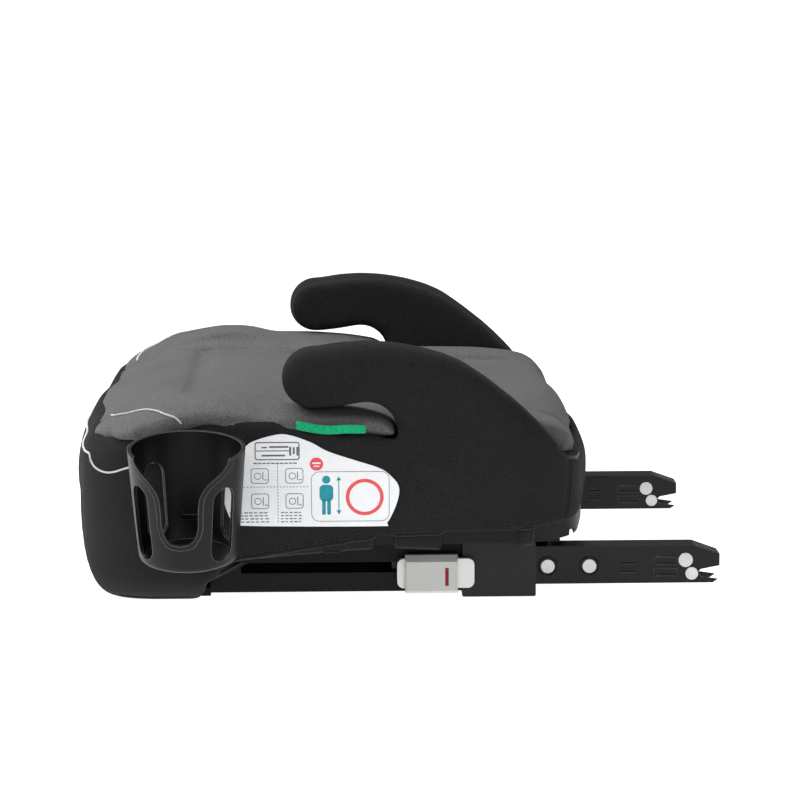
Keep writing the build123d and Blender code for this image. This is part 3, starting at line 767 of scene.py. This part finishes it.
# grey quilted pad
pad = {
    "voxel": 4.2 * mm,
    "smoothing": 9,
    "pressure": 4.0,
    "cap": 5.0 * mm,
    "steps": 20,
    "seamX": 127 * mm,
    "seamDepth": 3.6 * mm,
    "seamWidth": 4.2 * mm,
    "channelY": -105 * mm,
    "channelDepth": 5.0 * mm,
    "channelWidth": 7.0 * mm,
    "waves": 16.0,
    "waveHeight": 0.9 * mm,
    "rimX": 195 * mm,
    "rimLow": 112 * mm,
    "stitch": 2.6 * mm,
    "gap": 1.2 * mm,
    "beside": 2.6 * mm,
    "tongue": {"rear": 48, "front": -80, "low": 131, "high": 149, "inner": 168, "outer": 216},
}


def tongueInto(built, side):
    # the rounded lobe of the pad that runs back under each hook
    care = pad["tongue"]
    middle = Vector(((care["inner"] + care["outer"]) / 2 * side, (care["rear"] + care["front"]) / 2,
                     (care["low"] + care["high"]) / 2)) * mm
    half = Vector((care["outer"] - care["inner"], care["rear"] - care["front"],
                   care["high"] - care["low"])) * mm / 2
    made = bmesh.ops.create_uvsphere(built, u_segments=40, v_segments=24, radius=1.0)
    for vertex in made["verts"]:
        # a sphere swollen towards a box, sagging and thinning to the rear
        x, y, z = [math.copysign(abs(value) ** 0.68, value) for value in vertex.co]
        back = (y + 1) / 2
        place = Vector((x * half.x, y * half.y, z * half.z * (1.0 - 0.25 * back)))
        vertex.co = middle + place + Vector((0.0, 0.0, (1.0 - 3.0 * back) * mm))


def makePad():
    built = bmesh.new()
    built.from_mesh(padPart("padTop", cover["edgeDrop"], "DIFFERENCE"))
    built.from_mesh(nodes["seat_foam"].data)
    for side in (-1, 1):
        tongueInto(built, side)
    piece = pieceFrom("greyPad", meshOf("greyPad", built), "melangeCloth", "seat")
    remeshed(piece, pad["voxel"], pad["smoothing"])

    def overlap(place, normal):
        # the pad's edge swells out over the black cover
        if abs(place.x) < pad["rimX"] or place.z < pad["rimLow"] or place.y > 60 * mm or abs(normal.x) < 0.2:
            return Vector()
        fade = min(1.0, (abs(place.x) - pad["rimX"]) / (14 * mm))
        target = sideX(place.z) + 0.5 * mm
        return Vector((math.copysign(max(0.0, target - abs(place.x)) * fade, place.x), 0.0, 0.0))

    shifted(piece, overlap)
    shifted(piece, lambda place, normal: endPull(place))

    def pinned(vertex):
        if vertex.co.z < 108 * mm:
            return 1.0
        away = abs(abs(vertex.co.x) - pad["seamX"])
        return 0.9 if away < 3 * mm and vertex.normal.z > 0.3 else 0.0

    puffed(piece, pad, pinned)
    softened(piece, 4)
    subdivided(piece)

    def sink(place, normal):
        # the long seams, the cross channel and a slow unevenness
        if normal.z < 0.15:
            return Vector()
        depth = pad["seamDepth"] * math.exp(-((abs(place.x) - pad["seamX"]) / pad["seamWidth"]) ** 2)
        if abs(place.x) < pad["seamX"]:
            fade = min(1.0, (pad["seamX"] - abs(place.x)) / (6 * mm))
            channel = math.exp(-((place.y - pad["channelY"]) / pad["channelWidth"]) ** 2)
            depth = max(depth, pad["channelDepth"] * channel * fade)
        return normal * (noise.noise(place * pad["waves"]) * pad["waveHeight"] - depth)

    shifted(piece, sink)
    dressed(piece, "melangeCloth")
    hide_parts("pad_cover", "seat_foam")
    return piece


greyPad = makePad()
padSurface = surfaceOf(greyPad)
report("grey pad")


def fromAbove(x, front, step, count, lift, steepest):
    # a straight line dropped on the pad, without the stretches where the pad is steep
    path = [Vector((x, (front + step * k) * mm, 0.0)) for k in range(count)]
    laid = laidOn(padSurface, path, lambda p: Vector((p.x, p.y, 0.3)), Vector((0, 0, -1)), lift)
    return [(p, n) for p, n in laid if n.z > steepest]


def makePadSeams():
    # topstitches beside each quilted seam, and a dark tube along each seam as painted shade in its groove
    runs, seamShadeRuns = [], []
    for side in (-1, 1):
        for offset in (-pad["beside"], pad["beside"]):
            laid = fromAbove(side * pad["seamX"] + offset, -185, 1.2, 310, 0.15 * mm, 0.25)
            runs += stitchRuns(laid, pad["stitch"], pad["gap"], 1.2 * mm)
        # the dark tube lies in the seam's groove as painted shade, not as a thread
        laid = fromAbove(side * pad["seamX"], -186, 1.5, 254, 0.35 * mm, 0.15)
        seamShadeRuns.append(([p for p, _ in laid], [n for _, n in laid]))
    tubePiece("padStitches", runs, 0.28 * mm, "greyThread", sides=6)
    tubePiece("padSeamShadeLines", seamShadeRuns, 0.7 * mm, "seamShade", sides=6, flat=0.6)


makePadSeams()
report("pad seams")


# white decorative threads
rope = {
    "strand": 0.42 * mm,
    "twist": 3.4 * mm,
    "onGrey": [(138, -163, 135), (155, -160, 136), (170, -154, 137.5), (191, -137.5, 144.5),
               (206, -125.5, 149.5), (214, -120, 150.5), (219.5, -113, 149), (218.5, -107, 143)],
    "onBlack": [(0, -200, 117), (110, -196, 117), (160, -189, 117), (181.5, -180.5, 116),
                (188, -178.5, 110.5), (193, -174.5, 106.5), (201, -166, 104.5), (207, -157.5, 106),
                (213, -146, 110.5), (216.5, -130.5, 114.5), (217, -119, 117.5)],
    "spacing": 0.35 * mm,
}


def makeRope(name, points, surface):
    # two strands twisted round a path on the cloth
    path = smoothPath([Vector(point) * mm for point in points], rope["spacing"])
    runs = []
    for phase in (0.0, math.pi):
        strand = []
        for index, point in enumerate(path):
            place, normal, _, _ = surface.find_nearest(point)
            ahead = path[min(index + 1, len(path) - 1)] - path[max(index - 1, 0)]
            across = ahead.cross(normal).normalized()
            turn = 2 * math.pi * index * rope["spacing"] / rope["twist"] + phase
            strand.append(place + normal * (rope["strand"] * (1.3 + math.sin(turn)))
                          + across * rope["strand"] * math.cos(turn))
        runs.append((strand, None))
    tubePiece(name, runs, rope["strand"], "whiteThread", sides=6)


mirrored = [[(-x, y, z) for x, y, z in rope[where]] for where in ("onGrey", "onBlack")]
makeRope("greyRopeLeft", rope["onGrey"], padSurface)
makeRope("greyRopeRight", mirrored[0], padSurface)
makeRope("blackRope", mirrored[1][:0:-1] + rope["onBlack"], coverSurface)
report("threads")


# piping down the rear corners

def makeRearPiping():
    runs = []
    for side in (-1, 1):
        path = smoothPath(sidePoints(cover["rearSeam"]), 1.5 * mm)
        inward = Vector((-side, 0.0, 0.0))
        laid = laidOn(coverSurface, path, lambda p: Vector((side * 0.4, p.y, p.z)), inward, 0.0)
        runs.append(([p for p, _ in laid], [n for _, n in laid]))
    tubePiece("rearPiping", runs, 0.9 * mm, "hemTape", sides=8, flat=0.6)


makeRearPiping()
report("rear piping")


# side label
label = {
    "outline": [(-63.8, 66.3), (33, 65.1), (40.6, 67.6), (47.8, 82.8), (49.3, 94.6), (44, 102.5),
                (35.5, 108.8), (16, 115.5), (-2.2, 121.9), (-13, 128), (-23.2, 132.2), (-30, 134.2),
                (-37.3, 134.8), (-51, 131.5), (-61, 126.3), (-67, 114), (-72.8, 100.7), (-77.2, 97.5),
                (-79, 93.1), (-76.5, 80), (-72.1, 70.4)],
    "sheetLift": 0.35 * mm,
    "printLift": 0.66 * mm,
    "markLift": 0.74 * mm,
    "ink": 0.05 * mm,
    "header": ((-55, 115.6), (-22.5, 129.2)),
    "panel": ((-14.4, 69.0), (42.4, 106.8)),
    "frames": ((-58, 98), (-33, 98), (-58, 79), (-33, 79)),
    "frameSize": (13, 11.5),
    "ringCentre": (24.4, 87.3),
    "ringRadii": (13.8, 11.2),
    "spot": (-10.4, 112.4, 4.9),
}


def rounded(low, high, radius, steps=5):
    # a rounded rectangle in side view
    (y0, z0), (y1, z1) = low, high
    points = []
    for cy, cz, start in ((y1 - radius, z1 - radius, 0), (y0 + radius, z1 - radius, 90),
                          (y0 + radius, z0 + radius, 180), (y1 - radius, z0 + radius, 270)):
        for k in range(steps + 1):
            turn = math.radians(start + 90 * k / steps)
            points.append((cy + radius * math.cos(turn), cz + radius * math.sin(turn)))
    return points


def disc(y, z, radius, sides=40):
    return [(y + radius * math.cos(2 * math.pi * k / sides), z + radius * math.sin(2 * math.pi * k / sides))
            for k in range(sides)]


def bandOf(outer, inner):
    # a closed band between two outlines with the same number of points
    count = len(outer)
    return list(outer) + list(inner), [(k, (k + 1) % count, count + (k + 1) % count, count + k)
                                       for k in range(count)]


def shape(outline):
    return list(outline), [tuple(range(len(outline)))]


def sidePatch(name, shapes, lift, thickness, finish):
    # flat shapes laid on the left side's plane, raised by a hair
    built = bmesh.new()
    for outline, faces in shapes:
        verts = []
        for y, z in outline:
            height = z * mm
            verts.append(built.verts.new((sideX(height) + lift, y * mm, height)))
        for face in faces:
            built.faces.new([verts[index] for index in face])
    bmesh.ops.recalc_face_normals(built, faces=built.faces)
    piece = pieceFrom(name, meshOf(name, built), finish, "seat")
    thickened(piece, thickness)
    return piece


def frameOf(low, high, line, radius, innerRadius):
    # a rounded frame of an even width
    (y0, z0), (y1, z1) = low, high
    return bandOf(rounded(low, high, radius),
                  rounded((y0 + line, z0 + line), (y1 - line, z1 - line), innerRadius))


def bar(y, z, length, height=1.0):
    return shape([(y, z), (y + length, z), (y + length, z + height), (y, z + height)])


def makeGreyPrint():
    # generic marks only: a header, rows of dashes, four small frames and a panel
    grey = [frameOf(*label["header"], 0.8, 2.0, 1.4), bar(-54, 122.2, 24.5, 0.7),
            bar(-50, 124.6, 4), bar(-44.5, 124.8, 14, 1.3), bar(-50, 118.4, 17, 1.3)]
    grey += [bar(-30 + 2.6 * k, 119 + 1.2 * (k % 2), 1.4, 6.5 - 1.6 * (k % 2)) for k in range(3)]
    grey += [bar(-56 + 3.2 * k, 112.8, 2.6, 0.9) for k in range(10)]
    grey += [bar(-38.8, 112 - 2.4 * k, 0.5, 1.3) for k in range(19)]
    grey += [bar(-73 + 2.4 * k, 95.2, 1.3, 0.5) for k in range(24)]
    long, tall = label["frameSize"]
    for y, z in label["frames"]:
        grey.append(frameOf((y, z), (y + long, z + tall), 0.5, 2.2, 1.8))
        grey.append(bandOf(disc(y + 5, z + 5.6, 2.6, 24), disc(y + 5, z + 5.6, 2.1, 24)))
        grey.append(bar(y + 8.5, z + 2.5, 0.6, 6.5))
        grey.append(bar(y + 9.8, z + 2.5, 2.2, 0.6))
    for row in range(4):
        z = 75.6 - 2.3 * row
        grey += [bar(-74 + 3.6 * k + 0.4 * row, z, 2.9 - 0.4 * ((k + row) % 3), 0.8) for k in range(8)]
        grey += [bar(-36.5 + 3.2 * k, z, 2.5 - 0.4 * ((k * 2 + row) % 3), 0.8) for k in range(5)]
    grey.append(frameOf(*label["panel"], 0.4, 6.0, 5.6))
    return grey


def makeLabel():
    base = [(p.y / mm, p.z / mm) for p in smoothPath(sidePoints(label["outline"]), 2.5 * mm, True)][:-1]
    sheet = sidePatch("sideLabel", [shape(base)], label["sheetLift"], labelSheet, "labelCloth")
    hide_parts("side_label")
    # a plain figure beside a height arrow
    teal = [shape(disc(-3.4, 100.6, 3.0)), shape(rounded((-8.4, 84.5), (1.6, 96.8), 3.2)),
            shape(rounded((-6.6, 74.0), (-3.9, 86.0), 1.2)), shape(rounded((-2.9, 74.0), (-0.2, 86.0), 1.2)),
            bar(5.3, 77.2, 0.7, 23.0), shape([(3.9, 77.4), (5.65, 74.2), (7.4, 77.4)]),
            shape([(3.9, 100.0), (7.4, 100.0), (5.65, 103.2)])]
    outer, inner = [disc(*label["ringCentre"], radius) for radius in label["ringRadii"]]
    coral = [shape(disc(*label["spot"])), bandOf(outer, inner)]
    marks = [bar(-13.4, 112.6, 6.0, 1.1), bar(-12.4, 110.4, 4.0, 0.9)]
    for name, shapes, lift, finish in (("labelPrint", makeGreyPrint(), label["printLift"], "labelGrey"),
                                       ("labelTealPrint", teal, label["printLift"], "labelTeal"),
                                       ("labelCoralPrint", coral, label["printLift"], "labelCoral"),
                                       ("labelPaleMarks", marks, label["markLift"], "labelCloth")):
        sidePatch(name, shapes, lift, label["ink"], finish)


makeLabel()
report("label")


# green belt guide tabs
ribbon = {
    "front": -25.0,
    "rear": 25.4,
    "height": 6.6,
    "sag": 3.0,
    "top": 144.4,
    "out": 1.6,
    "columns": 44,
    "rows": 6,
    "thickness": 1.1 * mm,
}


def makeRibbon(side, name):
    # a strip that sags to the rear and waves a little
    points, faces = [], []
    columns, rows = ribbon["columns"], ribbon["rows"]
    for c in range(columns + 1):
        t = c / columns
        y = ribbon["front"] + (ribbon["rear"] - ribbon["front"]) * t
        top = ribbon["top"] - ribbon["sag"] * t - 1.3 * math.sin(math.pi * t) + 0.5 * math.sin(9 * t + side)
        height = ribbon["height"] * (1.0 - 0.12 * (2 * t - 1) ** 8) * (1.0 - 0.1 * t)
        for r in range(rows + 1):
            z = (top - height * r / rows) * mm
            out = ribbon["out"] + 0.5 * math.sin(math.pi * r / rows) + 0.35 * math.sin(7 * t + 2 * r / rows)
            points.append((side * (sideX(z) + out * mm), y * mm, z))
    for c in range(columns):
        for r in range(rows):
            a = c * (rows + 1) + r
            faces.append((a, a + 1, a + rows + 2, a + rows + 1))
    mesh = meshFrom(name, points, faces)
    smoothShaded(mesh)
    piece = pieceFrom(name, mesh, "greenRibbon", "seat")
    thickened(piece, ribbon["thickness"])
    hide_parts("belt_tab_left" if side > 0 else "belt_tab_right")


makeRibbon(1, "beltTabLeft")
makeRibbon(-1, "beltTabRight")
report("belt tabs")


# cup holder
cup = {
    "tilt": 8.0,
    "turn": -6.0,
    "footRadius": 35.5,
    "rimRadius": 41.7,
    "length": 82.0,
    "wall": 2.5,
    "floor": 3.0,
    "lip": 0.9,
    "lipWidth": 3.2,
    "windows": (50, 130, 230, 310),
    "windowWidth": 19.0,
    "windowLow": 6.5,
    "windowHigh": 62.0,
    "frontCut": [(-33.5, 90), (-33, 80), (-28, 73), (-20, 66.5), (-14.6, 58), (-13.2, 46), (-12.8, 36),
                 (-10.6, 27.5), (-6, 22.9), (0, 21.5)],
    "cutTop": 90,
    "tongueLow": 4.4 * mm,
    "tongueHead": (5.8 * mm, 2.8 * mm, 8 * mm),
    "tongueNeck": 4.9 * mm,
}


def lathe(built, profile, sides=120):
    # profile is a closed list of (radius, height)
    rings = []
    for k in range(sides):
        turn = 2 * math.pi * k / sides
        rings.append([built.verts.new((r * math.cos(turn), r * math.sin(turn), z)) for r, z in profile])
    for k in range(sides):
        near, far = rings[k], rings[(k + 1) % sides]
        for j in range(len(profile)):
            built.faces.new((near[j], far[j], far[(j + 1) % len(profile)], near[(j + 1) % len(profile)]))


def cutter(name, outline, turn, near, far):
    # an outline of (across, height) pushed outwards from the cup's axis
    ends = [[(reach, across, height) for across, height in outline] for reach in (near, far)]
    return prism(name, ends, turn)


def radiusAt(height):
    # the cup's outer radius at a height over its foot
    return cup["footRadius"] + (cup["rimRadius"] - cup["footRadius"]) / cup["length"] * height


def lippedShell():
    # the plain shell, then a raised lip beside the front cut, then the cut and the windows
    length, wall, lip, floor = cup["length"], cup["wall"], cup["lip"], cup["floor"]
    built = bmesh.new()
    bottomRound = [(radiusAt(0) - 5 + 5 * math.sin(a), 5 - 5 * math.cos(a))
                   for a in [math.radians(18 * k) for k in range(6)]]
    outside = [(0.4, 0.0), *bottomRound, *[(radiusAt(height), height) for height in (30, 60, length)]]
    inside = [(radiusAt(height) - wall, height) for height in (length, 40, 8)]
    lathe(built, [*outside, *inside, (radiusAt(4) - wall - 3, floor), (0.4, floor)])
    bmesh.ops.recalc_face_normals(built, faces=built.faces)
    shell = placed("cupShell", meshOf("cupShell", built))
    curve = [(p.y / mm, p.z / mm) for p in smoothPath(sidePoints(cup["frontCut"]), 2.0 * mm)]
    outline = curve + [(-across, height) for across, height in curve[-2::-1]]
    wider = []
    for across, height in outline:
        spread = 1 + cup["lipWidth"] / max(12.8, abs(across))
        wider.append((across * spread, height - cup["lipWidth"] * (1 if abs(across) < 9 else 0.5)))
    wider[0], wider[-1] = (wider[0][0], cup["cutTop"]), (wider[-1][0], cup["cutTop"])
    ring = bmesh.new()
    lathe(ring, [(radiusAt(2) + lip - 1.6, 2), (radiusAt(2) + lip, 2), (radiusAt(length) + lip, length),
                 (radiusAt(length) - 1.2, length)])
    bmesh.ops.recalc_face_normals(ring, faces=ring.faces)
    raised = placed("cupLip", meshOf("cupLip", ring))
    combined(raised, cutter("cupLipCut", wider, 0.0, 15, 60), "INTERSECT")
    combined(shell, raised, "UNION")
    combined(shell, cutter("cupFrontCut", outline, 0.0, 5, 60), "DIFFERENCE")
    half = cup["windowWidth"] / 2
    for turn in cup["windows"]:
        window = rounded((-half, cup["windowLow"]), (half, cup["windowHigh"]), half - 0.1, 8)
        combined(shell, cutter("cupWindowCut", window, turn, 10, 60), "DIFFERENCE")
    mesh = shell.data
    bpy.data.objects.remove(shell)
    return mesh


def makeCup():
    lean = math.radians(cup["tilt"])
    foot = Vector((cupHigh.x - (cup["length"] * math.sin(lean) + cup["rimRadius"] * math.cos(lean)) * mm,
                   (cupLow.y + cupHigh.y) / 2, cupLow.z + cup["footRadius"] * math.sin(lean) * mm))
    mesh = lippedShell()
    mesh.transform(Matrix.Translation(foot) @ Matrix.Rotation(lean, 4, "Y")
                   @ Matrix.Rotation(math.radians(cup["turn"]), 4, "Z") @ Matrix.Scale(mm, 4))
    # the tongue that drops into the socket
    joined = bmesh.new()
    joined.from_mesh(mesh)
    socketLow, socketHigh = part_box("cup_socket")
    face, low, high = socketHigh.x, socketLow.z + cup["tongueLow"], socketHigh.z
    deep, shallow, headHalf = cup["tongueHead"]
    for near, far, half in ((face - deep, face - shallow, headHalf),
                            (face - shallow, foot.x - 33.5 * mm, cup["tongueNeck"])):
        joined.from_mesh(roundedBox((near, foot.y - half, low), (far, foot.y + half, high), 0.4 * mm))
    joined.to_mesh(mesh)
    joined.free()
    piece = pieceFrom("cupHolder", mesh, "cupPlastic", "cup")
    sharpened(piece.data, 32)
    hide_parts("cup_holder")


makeCup()
report("cup holder")


# stamped ribs and dimples on the steel arms
stamps = {
    "ribs": [(222.8, 23.2, 11.5, 2.6), (222.8, 16.7, 11.5, 2.6),
             (251.2, 24.2, 17.3, 6.2), (251.2, 15.6, 17.3, 6.2)],
    "dimples": [(162.4, 20.5), (193.8, 20.5)],
    "rise": 0.9 * mm,
    "rim": 0.75 * mm,
    "dimple": 7.0,
}


def makeStamps(name):
    armLow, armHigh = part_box(f"anchor_arm_{name}")
    built = bmesh.new()
    for face, out in ((armLow.x, -1), (armHigh.x, 1)):
        for y, z, length, height in stamps["ribs"]:
            low, high = (y - length / 2) * mm, (y + length / 2) * mm
            for bottom, top in ((z - height / 2 - 0.4, z - height / 2 + 0.9),
                                (z + height / 2 - 0.9, z + height / 2 + 0.4)):
                built.from_mesh(roundedBox((face - stamps["rise"], low, bottom * mm),
                                           (face + stamps["rise"], high, top * mm), 0.5 * mm))
        for y, z in stamps["dimples"]:
            ring = [Vector((face, a * mm, b * mm)) for a, b in disc(y, z, stamps["dimple"], 48)]
            points, faces = tube(ring, stamps["rim"], 8, 1.0, [Vector((out, 0, 0))] * len(ring), True)
            verts = [built.verts.new(point) for point in points]
            for each in faces:
                built.faces.new([verts[index] for index in each])
    mesh = meshOf("armStamps", built)
    sharpened(mesh, 50)
    pieceFrom(f"armStamps_{name}", mesh, "armPaint", f"arm_{name}")


makeStamps("left")
makeStamps("right")
report("arm stampings")


# finishes on the carried-over parts
carried = {
    "seat_shell": "shellPlastic", "base_tray": "shellPlastic", "cup_socket": "cupPlastic",
    "cup_holder": "cupPlastic", "frame_screws": "zincRivet", "side_label": "labelCloth",
    "side_cover": "stretchCloth", "pad_cover": "melangeCloth", "seat_foam": "foamSkin",
}
pairedFinishes = {
    "guide_rail": "shellPlastic", "arm_bracket": "bracketPlastic", "anchor_arm": "armPaint",
    "arm_rivets": "zincRivet", "latch_hook": "hookSteel", "latch_spring": "hookSteel",
    "pull_rod": "rodNylon", "release_slider": "sliderPlastic", "release_cap": "gripPlastic",
    "lock_indicator": "redPlastic", "belt_tab": "greenRibbon", "armrest_core": "foamSkin",
}
for part, finish in pairedFinishes.items():
    for side in ("left", "right"):
        carried[f"{part}_{side}"] = finish
for node, finish in carried.items():
    for held in nodes[node].material_slots:
        held.material = finishes[finish]
report("carried-over parts finished")


# floor, light and camera
stage = {
    "floorFar": 30.0,
    "floorNear": 0.8,
    "floorColour": (0.5, 0.5, 0.5),
    "floorGlow": 1.0,
    "worldLight": 0.14,
    "aim": (0.0, 0.0, 0.1),
}


def makeStage():
    far, near, low = stage["floorFar"], stage["floorNear"], cadBox[0].z
    mesh = meshFrom("floor", [(-far, -far, low), (near, -far, low), (near, far, low), (-far, far, low)],
                    [(0, 1, 2, 3)])
    floor = placed("floor", mesh)
    pale = Finish("paleFloor")
    mesh.materials.append(pale.finish(Base_Color=stage["floorColour"], Roughness=0.9,
                                      Emission_Color=(1.0, 1.0, 1.0), Emission_Strength=stage["floorGlow"]))
    world = bpy.data.worlds.new("studio")
    world.use_nodes = True
    background = world.node_tree.nodes["Background"]
    background.inputs["Color"].default_value = (1.0, 1.0, 1.0, 1.0)
    background.inputs["Strength"].default_value = stage["worldLight"]
    scene.world = world


lamps = {
    "keyLight": {"place": (0.9, -1.3, 1.6), "size": (1.2, 1.2), "power": 28.0},
    "fillLight": {"place": (2.2, 0.9, 0.9), "size": (1.0, 1.0), "power": 9.0},
    "topLight": {"place": (-0.2, -0.4, 1.5), "size": (1.4, 1.8), "power": 27.0},
}


def areaLight(name, care):
    light = bpy.data.lights.new(name, "AREA")
    light.shape = "RECTANGLE"
    light.size, light.size_y = care["size"]
    light.energy = care["power"]
    lamp = placed(name, light)
    lamp.location = care["place"]
    lamp.rotation_euler = (Vector(stage["aim"]) - Vector(care["place"])).to_track_quat("-Z", "Y").to_euler()


lens = {
    "place": (2.2865, 0.0037, 0.500),
    "pitch": 9.351,
    "yaw": 1.287,
    "roll": -0.208,
    "focal": 130.97,
    "sensor": 36.0,
}


def makeCamera():
    data = bpy.data.cameras.new("camera")
    data.lens = lens["focal"]
    data.sensor_width = lens["sensor"]
    camera = placed("camera", data)
    pitch, yaw = math.radians(lens["pitch"]), math.radians(lens["yaw"])
    ahead = Vector((-math.cos(pitch) * math.cos(yaw), math.cos(pitch) * math.sin(yaw), -math.sin(pitch)))
    turn = ahead.to_track_quat("-Z", "Y")
    camera.rotation_mode = "QUATERNION"
    camera.rotation_quaternion = turn @ Matrix.Rotation(math.radians(lens["roll"]), 3, "Z").to_quaternion()
    camera.location = lens["place"]
    scene.camera = camera


makeStage()
for name, care in lamps.items():
    areaLight(name, care)
makeCamera()
scene.view_settings.view_transform = "Standard"
report("floor, light and camera")
